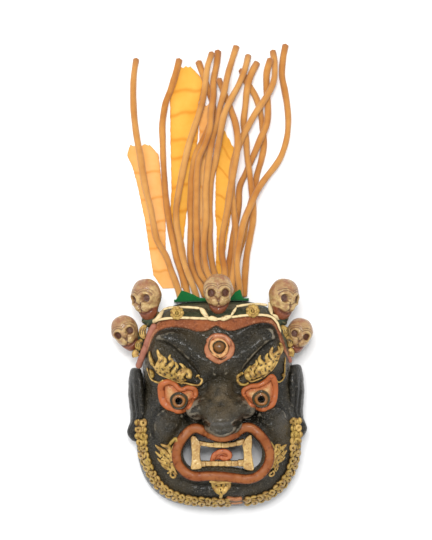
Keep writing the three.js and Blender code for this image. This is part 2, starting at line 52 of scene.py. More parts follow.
# ---------------------------------------------------------------- the hair cords
# Thirteen strips of orange-yellow cotton rolled into round cords about a centimetre
# thick, tacked under the felt at the top of the crown and lying loose one over another.
CORD_DIAMETER = 10 * MM
CORDS = {
    "cord_01": [
        [-52, -22, 7.5], [-51, -18, 7.5], [-55, -3, 7.5], [-63, 21, 7.5], [-71, 44, 7.5], [-85, 71, 7.5],
        [-90, 96, 7.5], [-94, 120, 7.5], [-100, 145, 7.5], [-104, 170, 7.5], [-108, 200, 7.5],
                [-112, 224, 7.5],
        [-115, 249, 7], [-117, 274, 6.5], [-117, 305, 6], [-115, 330, 6], [-111, 354, 5.5],
    ],
    "cord_02": [
        [-40, -22, 7.5], [-39, -18, 7.5], [-42, -3, 7.5], [-49, 21, 7.5], [-56, 45, 7.5], [-61, 70, 7.5],
        [-66, 100, 7.5], [-69, 125, 7.5], [-71, 150, 7], [-72, 175, 7], [-73, 200, 7], [-73, 225, 7],
        [-73, 250, 7], [-68, 280, 7.5], [-59, 303, 7.5], [-51, 327, 7.5], [-44, 352, 5.5],
    ],
    "cord_03": [
        [-27, -22, 7.5], [-26, -18, 7.5], [-30, -4, 13.5], [-39, 20, 16], [-46, 44, 16], [-50, 68, 14.5],
        [-54, 93, 13.5], [-54, 118, 12], [-50, 143, 11], [-45, 167, 11], [-39, 192, 11], [-33, 216, 12],
        [-25, 239, 13.5], [-16, 263, 15], [-9, 287, 17.5], [-5, 311, 20], [-1, 336, 18.5], [7, 360, 16],
    ],
    "cord_04": [
        [-14, -22, 7.5], [-13, -18, 7.5], [-18, -3, 7.5], [-29, 19, 7], [-34, 43, 7], [-33, 74, 7],
        [-32, 99, 7.5], [-32, 124, 8], [-30, 149, 8.5], [-28, 174, 9], [-21, 203, 9.5], [-9, 225, 8.5],
        [1, 248, 7.5], [7, 271, 7.5], [0, 300, 6.5], [-8, 324, 7.5], [-16, 348, 5.5],
    ],
    "cord_05": [
        [-2, -22, 7.5], [-1, -18, 7.5], [-4, -3, 11], [-18, 17, 15.5], [-23, 41, 15], [-23, 66, 15],
        [-23, 91, 15.5], [-23, 116, 16.5], [-22, 141, 17.5], [-21, 165, 18.5], [-17, 195, 20.5],
                [-7, 217, 21.5],
        [1, 241, 23], [3, 266, 22], [7, 290, 18.5], [8, 315, 12], [13, 340, 8.5], [16, 364, 5.5],
    ],
    "cord_06": [
        [4, -22, 20], [5, -18, 20], [2, -3, 22], [-8, 20, 22.5], [-12, 45, 21], [-12, 70, 20],
        [-9, 95, 18.5], [-8, 120, 17.5], [-8, 145, 17], [-5, 170, 17], [-1, 200, 15], [4, 225, 12.5],
        [12, 249, 15], [17, 273, 19.5], [24, 297, 27], [30, 322, 21.5], [37, 346, 13.5], [45, 370, 5.5],
    ],
    "cord_07": [
        [10, -22, 7.5], [11, -18, 7.5], [9, -3, 7.5], [2, 21, 7.5], [-2, 46, 7], [-3, 71, 7],
        [-2, 96, 6.5], [-2, 121, 6.5], [-1, 146, 6.5], [2, 171, 7], [8, 190, 9.5], [13, 215, 17.5],
        [18, 239, 23.5], [24, 263, 25.5], [35, 286, 24.5], [47, 308, 20.5], [57, 332, 16.5], [63, 355, 5.5],
    ],
    "cord_08": [
        [16, -22, 20], [16, -18, 20], [17, -3, 20], [19, 22, 20], [15, 47, 20.5], [16, 71, 21.5],
        [21, 96, 23], [26, 120, 25], [30, 145, 26], [36, 174, 27], [41, 199, 28], [43, 223, 28.5],
        [40, 248, 21], [33, 271, 14.5], [24, 295, 13.5], [15, 318, 22.5],
    ],
    "cord_09": [
        [23, -22, 7.5], [23, -18, 7.5], [23, -3, 7.5], [25, 22, 8], [29, 47, 7.5], [34, 76, 6],
        [39, 101, 5.5], [43, 125, 5.5], [45, 150, 5.5], [55, 172, 5.5], [68, 200, 9], [78, 222, 16.5],
        [88, 245, 16.5], [91, 270, 12.5], [90, 299, 10.5], [90, 324, 15], [97, 348, 20],
    ],
    "cord_10": [
        [36, -22, 7.5], [35, -17, 7.5], [36, -2, 7], [37, 23, 5.5], [41, 47, 5.5], [49, 71, 5.5],
        [53, 95, 5.5], [60, 119, 5.5], [67, 143, 5.5], [72, 168, 5.5], [79, 191, 5.5], [84, 216, 5.5],
        [82, 241, 5.5], [79, 266, 5.5], [72, 290, 5.5], [60, 311, 5.5], [50, 334, 5.5],
    ],
    "cord_11": [
        [29, -22, 20], [28, -18, 20], [30, -3, 18.5], [33, 22, 17.5], [37, 47, 17.5], [38, 72, 18],
        [36, 101, 17.5], [34, 126, 15], [33, 151, 14], [34, 176, 14.5], [40, 200, 15.5], [49, 223, 17.5],
        [61, 245, 20], [74, 266, 21], [91, 291, 22.5], [101, 313, 18], [103, 338, 12], [100, 362, 5.5],
    ],
    "cord_12": [
        [48, -22, 7.5], [48, -18, 7.5], [49, -3, 8.5], [51, 22, 10], [54, 47, 11.5], [59, 71, 13.5],
        [64, 96, 15.5], [65, 120, 17], [63, 145, 17.5], [60, 175, 18], [57, 200, 15.5], [56, 225, 7],
        [53, 249, 9], [56, 274, 12.5], [59, 299, 16.5], [66, 323, 13.5], [77, 344, 5.5],
    ],
    "cord_13": [
        [42, -22, 20], [42, -17, 20], [41, -3, 23.5], [38, 22, 29], [39, 47, 30], [44, 72, 30],
        [50, 96, 30], [60, 119, 30], [71, 142, 28], [85, 162, 23], [101, 182, 18.5], [111, 199, 15],
        [119, 223, 12], [122, 248, 9.5], [121, 273, 8], [118, 297, 6.5], [114, 322, 6], [116, 347, 5.5],
        [121, 371, 5.5],
    ],
}


def smooth_line(points, step, closed=False):
    """An even chain of points on a smooth curve through the given ones."""
    points = np.array(points, float)
    if closed:
        padded = np.vstack([points[-1], points, points[:2]])
    else:
        padded = np.vstack([2 * points[0] - points[1], points, 2 * points[-1] - points[-2]])
    fine = []
    for a, b, c, d in zip(padded, padded[1:], padded[2:], padded[3:]):
        for t in np.linspace(0, 1, 12, endpoint=False):
            fine.append(0.5 * (2 * b + (c - a) * t + (2 * a - 5 * b + 4 * c - d) * t**2
                               + (3 * b - a - 3 * c + d) * t**3))
    fine = np.array(fine + [fine[0] if closed else padded[-2]])
    run = np.concatenate([[0], np.cumsum(np.linalg.norm(np.diff(fine, axis=0), axis=1))])
    count = max(3, int(round(run[-1] / step)) + 1)
    at = np.linspace(0, run[-1], count)
    return np.stack([np.interp(at, run, fine[:, i]) for i in range(points.shape[1])], 1)


def shaped_grid(name, columns, rows, place, masks=None, merge=True, add_to=None):
    """A grid of faces whose points are moved to where place(u, v) says, u and v from 0 to 1."""
    bm = bmesh.new()
    bm.loops.layers.uv.new("UVMap")
    bmesh.ops.create_grid(bm, x_segments=columns, y_segments=rows, size=0.5, calc_uvs=True)
    mesh = bpy.data.meshes.new(name)
    bm.to_mesh(mesh)
    bm.free()
    flat = np.empty(len(mesh.vertices) * 3)
    mesh.vertices.foreach_get("co", flat)
    u, v = flat[0::3] + 0.5, flat[1::3] + 0.5
    placed = place(u, v)
    mesh.vertices.foreach_set("co", np.stack(placed, 1).ravel())
    for key, values in (masks(u, v) if masks else {}).items():
        layer = mesh.attributes.new(key, "FLOAT", "POINT")
        layer.data.foreach_set("value", np.asarray(values, float))
    piece = bpy.data.objects.new(name, mesh)
    bpy.context.collection.objects.link(piece)
    if merge:
        tidy(piece)
    for face in mesh.polygons:
        face.use_smooth = True
    return piece


def tidy(piece, distance=0.02 * MM):
    """Closes seams and poles, and turns the faces outwards."""
    bm = bmesh.new()
    bm.from_mesh(piece.data)
    bmesh.ops.remove_doubles(bm, verts=bm.verts, dist=distance)
    bmesh.ops.recalc_face_normals(bm, faces=bm.faces)
    bm.to_mesh(piece.data)
    bm.free()


def frames_along(line, up=(0, 0, 1)):
    """For each point of a line: the way it runs, its side and its upper side."""
    ahead = np.gradient(line, axis=0)
    ahead /= np.linalg.norm(ahead, axis=1)[:, None]
    side = np.cross(ahead, np.array(up, float))
    side /= np.linalg.norm(side, axis=1)[:, None]
    return ahead, side, np.cross(side, ahead)


def rolled_cord(name, route, seed):
    line = smooth_line(np.array(route) * MM, 2.6 * MM)
    _, side, top = frames_along(line)
    chance = np.random.default_rng(seed)
    sides, steps = 20, len(line) - 1
    run = np.arange(steps + 1) * 2.6
    phase = chance.uniform(0, 6.28, 6)

    def place(u, v):
        at = np.clip((v * steps).round().astype(int), 0, steps)
        angle = 2 * np.pi * u + 0.5 * np.sin(run[at] / 55 + phase[4])
        swell = (1 + 0.035 * np.sin(run[at] / 17 + phase[0]) + 0.03 * np.sin(run[at] / 6.3 + phase[1])
                 + 0.045 * np.cos(2 * angle + run[at] / 40 + phase[2])
                 + 0.02 * np.sin(3 * angle - run[at] / 12 + phase[3]))
        fold = 0.10 * np.exp(-((np.mod(angle - phase[5], 2 * np.pi) - np.pi) / 0.28) ** 2)
        end = np.minimum(run[at], run[-1] - run[at])
        close = np.where(end < 0.1, 0.0, np.clip(0.80 + end / 14, 0, 1))
        radius = CORD_DIAMETER * 0.495 * (swell - fold) * close
        place_at = line[at]
        return tuple(place_at[:, i] + radius * (np.cos(angle) * side[at, i] + np.sin(angle) * top[at, i])
                     for i in range(3))

    def masks(u, v):
        at = np.clip((v * steps).round().astype(int), 0, steps)
        return {"along": run[at] / 1000, "tip": np.clip(1 - (run[-1] - run[at]) / 16, 0, 1)}

    piece = shaped_grid(name, sides, steps, place, masks)
    return piece, line


def node(tree, kind, links=None, **values):
    """Adds a shader node, sets its choices, and sets or links its inputs."""
    made = tree.nodes.new(kind)
    for key, value in values.items():
        setattr(made, key, value)
    for key, value in (links or {}).items():
        if isinstance(value, bpy.types.NodeSocket):
            tree.links.new(value, made.inputs[key])
        else:
            made.inputs[key].default_value = value
    return made


def new_material(name, roughness, specular=0.5):
    material = bpy.data.materials.new(name)
    material.use_nodes = True
    shader = material.node_tree.nodes["Principled BSDF"]
    shader.inputs["Roughness"].default_value = roughness
    shader.inputs["Specular IOR Level"].default_value = specular
    return material, material.node_tree, shader


def mixed(tree, factor, a, b, blend="MIX"):
    """Colour a turned into colour b by a factor."""
    made = node(tree, "ShaderNodeMix", data_type="RGBA", blend_type=blend)
    for socket, value in ((made.inputs[0], factor), (made.inputs[6], a), (made.inputs[7], b)):
        if isinstance(value, bpy.types.NodeSocket):
            tree.links.new(value, socket)
        else:
            socket.default_value = value if socket.type == "VALUE" else (*value, 1)
    return made.outputs[2]


def sums(tree, operation, a, b=0.0):
    made = node(tree, "ShaderNodeMath", {0: a, 1: b}, operation=operation)
    return made.outputs[0]


def spread(tree, value, low, high, to_low=0.0, to_high=1.0):
    made = node(tree, "ShaderNodeMapRange", {"Value": value, "From Min": low, "From Max": high,
                                             "To Min": to_low, "To Max": to_high})
    return made.outputs["Result"]


def noise(tree, scale, detail=3.0, vector=None, stretch=None, rough=0.55):
    """Clouds of the given size in the piece's own space, drawn out where stretch says so."""
    place = vector or node(tree, "ShaderNodeTexCoord").outputs["Object"]
    if stretch:
        place = node(tree, "ShaderNodeMapping", {"Vector": place, "Scale": stretch}).outputs[0]
    made = node(tree, "ShaderNodeTexNoise", {"Vector": place, "Scale": scale, "Detail": detail,
                                             "Roughness": rough})
    return made.outputs["Fac"]


def raise_surface(tree, shader, height, distance, strength=1.0):
    bump = node(tree, "ShaderNodeBump", {"Height": height, "Distance": distance, "Strength": strength})
    tree.links.new(bump.outputs[0], shader.inputs["Normal"])


def attribute(tree, name):
    return node(tree, "ShaderNodeAttribute", attribute_name=name).outputs["Fac"]


def new_group(name, inputs, outputs):
    """An effect that several finishes share, with named inputs and outputs."""
    group = bpy.data.node_groups.new(name, "ShaderNodeTree")
    kinds = {"value": "NodeSocketFloat", "color": "NodeSocketColor", "vector": "NodeSocketVector"}
    for title, kind, preset in inputs:
        socket = group.interface.new_socket(name=title, in_out="INPUT", socket_type=kinds[kind])
        if preset is not None:
            socket.default_value = preset
    for title, kind in outputs:
        group.interface.new_socket(name=title, in_out="OUTPUT", socket_type=kinds[kind])
    return group, group.nodes.new("NodeGroupInput").outputs, group.nodes.new("NodeGroupOutput").inputs


def use_group(tree, group, links):
    made = node(tree, "ShaderNodeGroup")
    made.node_tree = group
    for key, value in links.items():
        if isinstance(value, bpy.types.NodeSocket):
            tree.links.new(value, made.inputs[key])
        else:
            made.inputs[key].default_value = value
    return made.outputs


def cloth_weave_group():
    """Plain weave on the piece's own map: over-and-under threads and slubs."""
    group, given, wanted = new_group(
        "cloth_weave",
        [("Threads Across", "value", 60.0), ("Threads Along", "value", 400.0)],
        [("Height", "value"), ("Slub", "value")])
    spot = node(group, "ShaderNodeSeparateXYZ", {0: node(group, "ShaderNodeUVMap").outputs[0]})
    across = sums(group, "MULTIPLY", spot.outputs[0], given["Threads Across"])
    along = sums(group, "MULTIPLY", spot.outputs[1], given["Threads Along"])
    warp = sums(group, "SINE", sums(group, "MULTIPLY", across, 6.283))
    weft = sums(group, "SINE", sums(group, "MULTIPLY", along, 6.283))
    group.links.new(sums(group, "MULTIPLY", warp, weft), wanted["Height"])
    joined = node(group, "ShaderNodeCombineXYZ", {0: across, 1: sums(group, "MULTIPLY", along, 0.07)})
    slub = node(group, "ShaderNodeTexNoise", {"Vector": joined.outputs[0], "Scale": 1.3, "Detail": 2.0})
    group.links.new(slub.outputs["Fac"], wanted["Slub"])
    return group


CLOTH_WEAVE = cloth_weave_group()


def cord_cloth(name, pale, deep, tip_colour, length):
    material, tree, shader = new_material(name, 0.82, 0.25)
    shader.inputs["Sheen Weight"].default_value = 0.25
    shader.inputs["Sheen Roughness"].default_value = 0.5
    weave = use_group(tree, CLOTH_WEAVE, {"Threads Across": 34.0, "Threads Along": length * 1100})
    patches = spread(tree, noise(tree, 22, 3), 0.35, 0.68)
    streaks = spread(tree, weave["Slub"], 0.3, 0.75)
    body = mixed(tree, patches, pale, deep)
    body = mixed(tree, sums(tree, "MULTIPLY", streaks, 0.35), body, deep)
    body = mixed(tree, sums(tree, "MULTIPLY", attribute(tree, "tip"), 0.8), body, tip_colour)
    tree.links.new(body, shader.inputs["Base Color"])
    height = sums(tree, "ADD", sums(tree, "MULTIPLY", weave["Height"], 0.35), weave["Slub"])
    raise_surface(tree, shader, height, 0.35 * MM, 0.7)
    return material


for number, (name, route) in enumerate(CORDS.items()):
    cord, cord_line = rolled_cord(name.replace("cord", "hair_cord"), route, 20 + number)
    cord_length = float(np.linalg.norm(np.diff(cord_line, axis=0), axis=1).sum())
    shade = random.Random(number).uniform(-1, 1)
    cord.data.materials.append(cord_cloth(
        cord.name + "_cloth",
        (0.63 + 0.03 * shade, 0.31 + 0.035 * shade, 0.080 + 0.02 * shade),
        (0.43 + 0.04 * shade, 0.160 + 0.03 * shade, 0.028 + 0.010 * shade),
        (0.33, 0.12, 0.04), cord_length))
    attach(cord, "root")
    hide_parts(name)

# ---------------------------------------------------------------- the cloth ribbons
# Four flat strips of thin cotton, golden yellow and pale apricot, lying under the cords. They
# were kept folded, so each shows creases across its width; the tall one has a turned-over flap.
CLOTH_THICK = 0.7
RIBBONS = {
    "ribbon_left": dict(
        left=[(-78, -5), (-92, 16), (-98, 60), (-103, 100), (-114, 157), (-121, 185), (-129, 203),
              (-124, 218)],
        right=[(-59, -5), (-66, 16), (-72, 60), (-71, 100), (-76, 157), (-78, 185), (-80, 203), (-93, 219)],
        creases=[0.13, 0.29, 0.40, 0.455, 0.62, 0.80], pale=True, flat=(0.040, 0.228)),
    "ribbon_tall": dict(
        left=[(-49, -5), (-54, 30), (-60, 60), (-64, 109), (-61, 150), (-61, 230), (-60, 318), (-50, 337)],
        right=[(-36, -5), (-38, 30), (-44, 70), (-39, 108), (-31, 150), (-23.5, 190), (-17, 240), (-16, 281),
               (-7, 317), (-28, 339)],
        creases=[0.10, 0.22, 0.34, 0.46, 0.58, 0.66, 0.78, 0.88], pale=False, flat=(0.045, 0.348)),
    "ribbon_middle": dict(
        left=[(-23, -5), (-24, 60), (-24, 130), (-22, 190), (-16, 225), (-16, 250), (-15, 279)],
        right=[(-10, -5), (-10, 60), (-10, 130), (-8, 190), (2, 225), (4, 250), (5, 278)],
        creases=[0.18, 0.37, 0.55, 0.72, 0.86], pale=True, flat=(0.018, 0.290)),
    "ribbon_right": dict(
        left=[(2, -5), (5, 22), (8, 84), (6, 107), (8, 162), (11, 208), (21, 242)],
        right=[(13, -5), (16, 22), (26, 84), (30, 107), (37, 146), (38, 190), (38, 209)],
        creases=[0.16, 0.30, 0.45, 0.60, 0.76, 0.90], pale=False, flat=(0.028, 0.250)),
}


def along_edge(edge, v):
    """Points at even shares of an edge's length."""
    edge = np.array(edge, float)
    run = np.concatenate([[0], np.cumsum(np.linalg.norm(np.diff(edge, axis=0), axis=1))])
    return np.interp(v * run[-1], run, edge[:, 0]), np.interp(v * run[-1], run, edge[:, 1])


def ribbon_cloth(name, left, right, creases, pale, flat, seed):
    chance = np.random.default_rng(seed)
    slants = chance.uniform(-0.03, 0.03, len(creases))
    phase = chance.uniform(0, 6.28, 4)

    def crease_of(u, v):
        total = np.zeros(u.shape)
        for at, slant in zip(creases, slants):
            total += np.exp(-((v - at - slant * (u - 0.5) - 0.004 * np.sin(9 * u + phase[0])) / 0.008) ** 2)
        return total

    def place(u, v):
        (lx, ly), (rx, ry) = along_edge(left, v), along_edge(right, v)
        fray = 0.35 * np.sin(v * 160 + phase[1]) * np.sin(v * 57 + phase[2]) * (np.abs(2 * u - 1) ** 12)
        x, y = lx + (rx - lx) * u + fray * np.sign(u - 0.5), ly + (ry - ly) * u
        y = y + np.where(v > 0.93, 1.2 * np.sin(u * 17 + phase[3]) * (v - 0.93) / 0.07, 0)
        wave = 0.30 + 0.22 * np.sin(v * 34 + 2 * u + phase[0]) + 0.15 * np.sin(5 * u + v * 21 + phase[1])
        lift = 0.75 * np.clip(crease_of(u, v), 0, 1)
        return x * MM, y * MM, (0.25 + np.clip(wave + lift, 0, 1.25)) * MM

    def masks(u, v):
        return {"crease": np.clip(crease_of(u, v), 0, 1), "edge": np.abs(2 * u - 1) ** 8}

    piece = shaped_grid(name, 26, 190, place, masks, merge=False)
    thick = piece.modifiers.new("thickness", "SOLIDIFY")
    thick.thickness = CLOTH_THICK * MM
    thick.offset = 1
    return piece


def ribbon_material(name, base, deep, crease_tone, flat):
    material, tree, shader = new_material(name, 0.85, 0.2)
    shader.inputs["Sheen Weight"].default_value = 0.2
    weave = use_group(tree, CLOTH_WEAVE, {"Threads Across": flat[0] * 1400, "Threads Along": flat[1] * 1400})
    tone = mixed(tree, spread(tree, noise(tree, 26, 4), 0.35, 0.7), base, deep)
    tone = mixed(tree, sums(tree, "MULTIPLY", spread(tree, weave["Slub"], 0.35, 0.75), 0.25), tone, deep)
    crease = attribute(tree, "crease")
    tone = mixed(tree, sums(tree, "MULTIPLY", crease, 0.65), tone, crease_tone)
    tone = mixed(tree, sums(tree, "MULTIPLY", attribute(tree, "edge"), 0.5), tone, crease_tone)
    tree.links.new(tone, shader.inputs["Base Color"])
    raise_surface(tree, shader, sums(tree, "ADD", weave["Height"], weave["Slub"]), 0.2 * MM, 0.5)
    return material


for number, (name, cut) in enumerate(RIBBONS.items()):
    ribbon = ribbon_cloth(name.replace("ribbon", "cloth_ribbon"), **cut, seed=70 + number)
    if cut["pale"]:
        finish = ribbon_material(ribbon.name + "_cotton", (0.86, 0.47, 0.17), (0.80, 0.38, 0.09),
                                 (0.68, 0.25, 0.03), cut["flat"])
    else:
        finish = ribbon_material(ribbon.name + "_cotton", (0.86, 0.46, 0.075), (0.80, 0.37, 0.04),
                                 (0.62, 0.21, 0.012), cut["flat"])
    ribbon.data.materials.append(finish)
    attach(ribbon, "root")
    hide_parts(name)
    shares = np.linspace(0, 1, 60)
    (lx, ly), (rx, ry) = along_edge(cut["left"], shares), along_edge(cut["right"], shares)

# ---------------------------------------------------------------- the felt hair root
# A piece of thick green wool felt, nailed behind the crown's top edge and folded forward over
# the ends of the cords, with its free edge cut by hand on a slant.
FELT_THICK = 1.6
FELT_EDGE = [(-60, -25), (-56, -22), (-48, -8), (-30, -15), (-20, -21), (-4, -21), (12, -22), (28, -21),
             (34, -13), (42, -8), (45, -21), (47, -25), (55, -26)]


def place_felt(u, v):
    x = -60 + 115 * u
    edge = np.interp(x, [p[0] for p in FELT_EDGE], [p[1] for p in FELT_EDGE])
    wall = np.clip(v / 0.55, 0, 1)
    bend = np.clip((v - 0.55) / 0.15, 0, 1) * np.pi / 2
    over = np.clip((v - 0.7) / 0.3, 0, 1)
    y = -25.6 + 2.6 * (1 - np.cos(bend)) + np.maximum(0, over * (edge + 23.0))
    z = 0.8 + 25.0 * wall + 2.6 * np.sin(bend)
    sag = 0.7 * np.sin(x / 4.9 + 0.8) * over + 0.3 * np.sin(x / 2.3) * over - 1.2 * over**2
    y += 0.15 * np.sin(x / 1.7) * over + 0.25 * np.sin(z / 3.1 + x / 9) * (v < 0.55)
    return x * MM, y * MM, (z + sag) * MM


felt = shaped_grid("green_felt_root", 110, 44, place_felt, merge=False)
thick = felt.modifiers.new("thickness", "SOLIDIFY")
thick.thickness = FELT_THICK * MM
thick.offset = 0
round_off = felt.modifiers.new("soft_edge", "BEVEL")
round_off.width = 0.5 * MM
round_off.segments = 2
material, tree, shader = new_material("green_wool_felt", 0.95, 0.1)
shader.inputs["Sheen Weight"].default_value = 0.25
shader.inputs["Sheen Roughness"].default_value = 0.6
fibres = noise(tree, 900, 6, rough=0.75)
tone = mixed(tree, spread(tree, fibres, 0.35, 0.7), (0.0, 0.085, 0.016), (0.002, 0.155, 0.030))
tone = mixed(tree, spread(tree, noise(tree, 60, 3), 0.5, 0.8), tone, (0.0, 0.055, 0.018))
tree.links.new(tone, shader.inputs["Base Color"])
raise_surface(tree, shader, fibres, 0.8 * MM, 0.9)
felt.data.materials.append(material)
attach(felt, "root")
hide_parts("hair_felt")

# ---------------------------------------------------------------- the carved mask
# One block of wood, hollowed from behind, with the face carved in front: rolled brows, round
# eyes, a broad nose, apple cheeks and a snarling mouth. Painted black over a red-brown ground,
# polished by handling, with a red and a dark green band for the crown's foot.
FACE_X = 8.0
RIM_X, RIM_Y = -3.5, -213.0
JAW_HALF, TEMPLE_HALF = 128.5, 117.0
RIM_UP, RIM_DOWN = 186.0, 130.5
JAW_POWER, TOP_POWER = 3.0, 4.0
DEPTH = 100.0
WALL = 12.0
FACE_WALL = 17.0

BROW_ROLL = [(8, -122), (32, -106), (60, -86), (92, -72)]
BROW_CREASES = [[(31, -134), (45, -116), (60, -100), (76, -87), (97, -80)]]
BROW_PAD = [(34, -142), (56, -131), (76, -118), (94, -104)]
LEFT_EYE = [(-87, -148), (-78, -144), (-69, -147), (-59, -156), (-47, -153), (-38, -156), (-38, -168),
            (-48, -182), (-60, -187), (-75, -183), (-85, -174), (-88, -160)]
RIGHT_EYE = [(37, -157), (46, -153), (58, -152), (69, -146), (77, -139), (82, -150), (82, -168),
             (76, -182), (63, -187), (49, -182), (38, -171), (35, -163)]
PUPILS = [(-62, -172, 9.6), (61, -172, 9.6)]
THIRD_EYE = (0, -94)
LIPS = [(0, -226), (19, -222), (34, -214), (46, -215), (57, -224), (67, -238), (72, -254), (68, -272),
        (55, -286), (39, -291), (20, -289), (0, -286), (-20, -285), (-40, -285), (-54, -279), (-65, -265),
        (-67, -247), (-60, -231), (-49, -218), (-37, -213), (-20, -220)]
MOUTH = [(0, -231), (20, -228), (35, -221), (43, -223), (52, -232), (59, -244), (61, -257), (57, -270),
         (47, -278), (38, -279), (24, -276), (0, -273), (-24, -272), (-42, -274), (-51, -270), (-57, -259),
         (-57, -246), (-51, -234), (-43, -225), (-36, -221), (-20, -226)]
CHIN_CREASE = [(-60, -291), (-34, -301), (0, -302), (34, -303), (60, -293)]
TEMPLE_EDGES = [[(-103, -76), (-107, -105), (-112, -140), (-111, -170), (-109, -200), (-106, -225)],
                [(93, -84), (98, -115), (101, -145), (103, -170), (105, -195), (103, -225)]]
CROWN_LINE = [(-127, -122), (-121, -103), (-114, -84), (-108, -66), (-100, -55), (-86, -50), (-62, -48),
              (-30, -49.5), (-6, -50.5), (2, -51), (21, -48.5), (42, -46.5), (64, -46.5), (78, -49.5),
              (87, -58), (93, -74), (99, -92), (106, -115)]
RED_LINE = [(-124, -124), (-111, -104), (-103, -86), (-98, -75), (-88, -66), (-70, -62), (-50, -64),
            (-32, -69), (-18, -68), (-4, -61), (6, -66), (20, -69), (38, -64), (56, -59), (72, -58.5),
            (83, -64), (88, -76), (92, -90), (98, -104), (106, -118)]


def ease(low, high, value):
    t = np.clip((value - low) / (high - low), 0, 1)
    return t * t * (3 - 2 * t)


def hill(t):
    return np.where(np.abs(t) < 1, (1 - t * t) ** 2, 0.0)


def beside(x, y, path, closed=False, reach=30.0):
    """Signed distance to a chain of straight stretches, positive on its left."""
    path = np.asarray(path, float)
    ends = np.roll(path, -1, axis=0) if closed else path[1:]
    (x0, y0), (x1, y1) = path.min(axis=0) - reach, path.max(axis=0) + reach
    pick = (x > x0) & (x < x1) & (y > y0) & (y < y1)
    px, py = x[pick], y[pick]
    best, turn = np.full(px.shape, float(reach)), np.ones(px.shape)
    for (ax, ay), (bx, by) in zip(path, ends):
        ex, ey = bx - ax, by - ay
        t = np.clip(((px - ax) * ex + (py - ay) * ey) / (ex * ex + ey * ey), 0, 1)
        away = np.hypot(px - ax - t * ex, py - ay - t * ey)
        nearer = away < best
        best = np.where(nearer, away, best)
        turn = np.where(nearer, np.sign(ex * (py - ay) - ey * (px - ax)), turn)
    found = np.full(np.shape(x), float(reach))
    found[pick] = best * turn
    return found


def away_from(x, y, path, closed=False, reach=30.0):
    return np.abs(beside(x, y, path, closed, reach))


def fold(x, y, path, deep, left, right):
    """A carved crease with its own width on each side of its line."""
    gap = beside(x, y, smooth_line(path, 4), reach=3.2 * max(left, right))
    return -deep * np.exp(-((gap / np.where(gap > 0, left, right)) ** 2))


def inside(x, y, outline):
    """1 for the points within a closed outline."""
    within = np.zeros(np.shape(x), bool)
    for (ax, ay), (bx, by) in zip(outline, np.roll(outline, -1, axis=0)):
        if ay != by:
            within ^= ((ay > y) != (by > y)) & (x < (bx - ax) * (y - ay) / (by - ay) + ax)
    return within


def ridge(x, y, path, width, height, closed=False):
    return height * hill(away_from(x, y, path, closed) / width)


def dome(x, y, cx, cy, rx, ry, height):
    return height * hill(np.hypot((x - cx) / rx, (y - cy) / ry))


def rim_radius(dx, dy, inset=0.0):
    half = JAW_HALF + (TEMPLE_HALF - JAW_HALF) * ease(0, 0.58, dy) - inset
    tall = np.where(dy >= 0, RIM_UP, RIM_DOWN) - inset
    power = JAW_POWER + (TOP_POWER - JAW_POWER) * ease(0, 0.3, dy)
    return (np.abs(dx / half) ** power + np.abs(dy / tall) ** power) ** (-1 / power)


def wall_power(dx, dy):
    up = np.clip(rim_radius(dx, dy) * dy / RIM_UP, 0, 1)
    return 5.2 + 20.8 * ease(0.3, 0.85, up)


def side_line(line, x, y):
    """Above the line on the front, and outside it where it runs down a side."""
    line = smooth_line(line, 2.5)
    gap = away_from(x, y, line, reach=14)
    over = inside(x, y, np.vstack([line, [(300, line[-1, 1]), (300, 300), (-300, 300), (-300, line[0, 1])]]))
    return np.where(over, gap, -gap)


def bulge(x, y, cx, cy, rx, ry, height, power=0.5):
    """A round mass with steep sides."""
    return height * np.clip(1 - ((x - cx) / rx) ** 2 - ((y - cy) / ry) ** 2, 0, 1) ** power


def nose_rise(x, y):
    """A saddle between the eyes that widens into a heavy bulb with spread wings."""
    side = np.abs(x)
    down = np.clip((-141 - y) / 50, 0, 1.3)
    half = 20 + 9 * ease(0.25, 1.0, down)
    bridge = (11 + 28 * down**1.05) * np.clip(1 - np.abs(x / half) ** 2.2, 0, 1) ** 0.75
    bridge = bridge * ease(-136, -147, y + 0.014 * x**2) * ease(-216, -196, y)
    masses = [bridge, bulge(x, y, 2, -202, 31, 25.5, 47, 0.42), bulge(side, y, 34, -186, 18.5, 15, 35, 0.45),
              bulge(side, y, 20, -181, 25, 18, 33, 0.75)]
    return sum(mass**3.4 for mass in masses) ** (1 / 3.4)


NOSE_ARC = [(17, -166), (26, -165), (36, -168), (46, -174), (54, -184), (55, -194), (50, -201)]
FROWN = [(-30, -153), (-22, -147), (-10, -142.5), (0, -141.5), (11, -143), (20, -148), (27, -154)]
CHEEK_SIDES = [(72, -186), (84, -183), (94, -188), (100, -197), (103, -211), (101, -228)]
NOSE_EDGE = [(53, -186), (52, -196), (47, -203), (39, -206), (31, -203), (26, -208), (21, -215),
            (13, -221.5),
             (5, -225), (0, -225.5)]
SMILE = [(52, -203), (60, -214), (68, -226), (77, -240)]


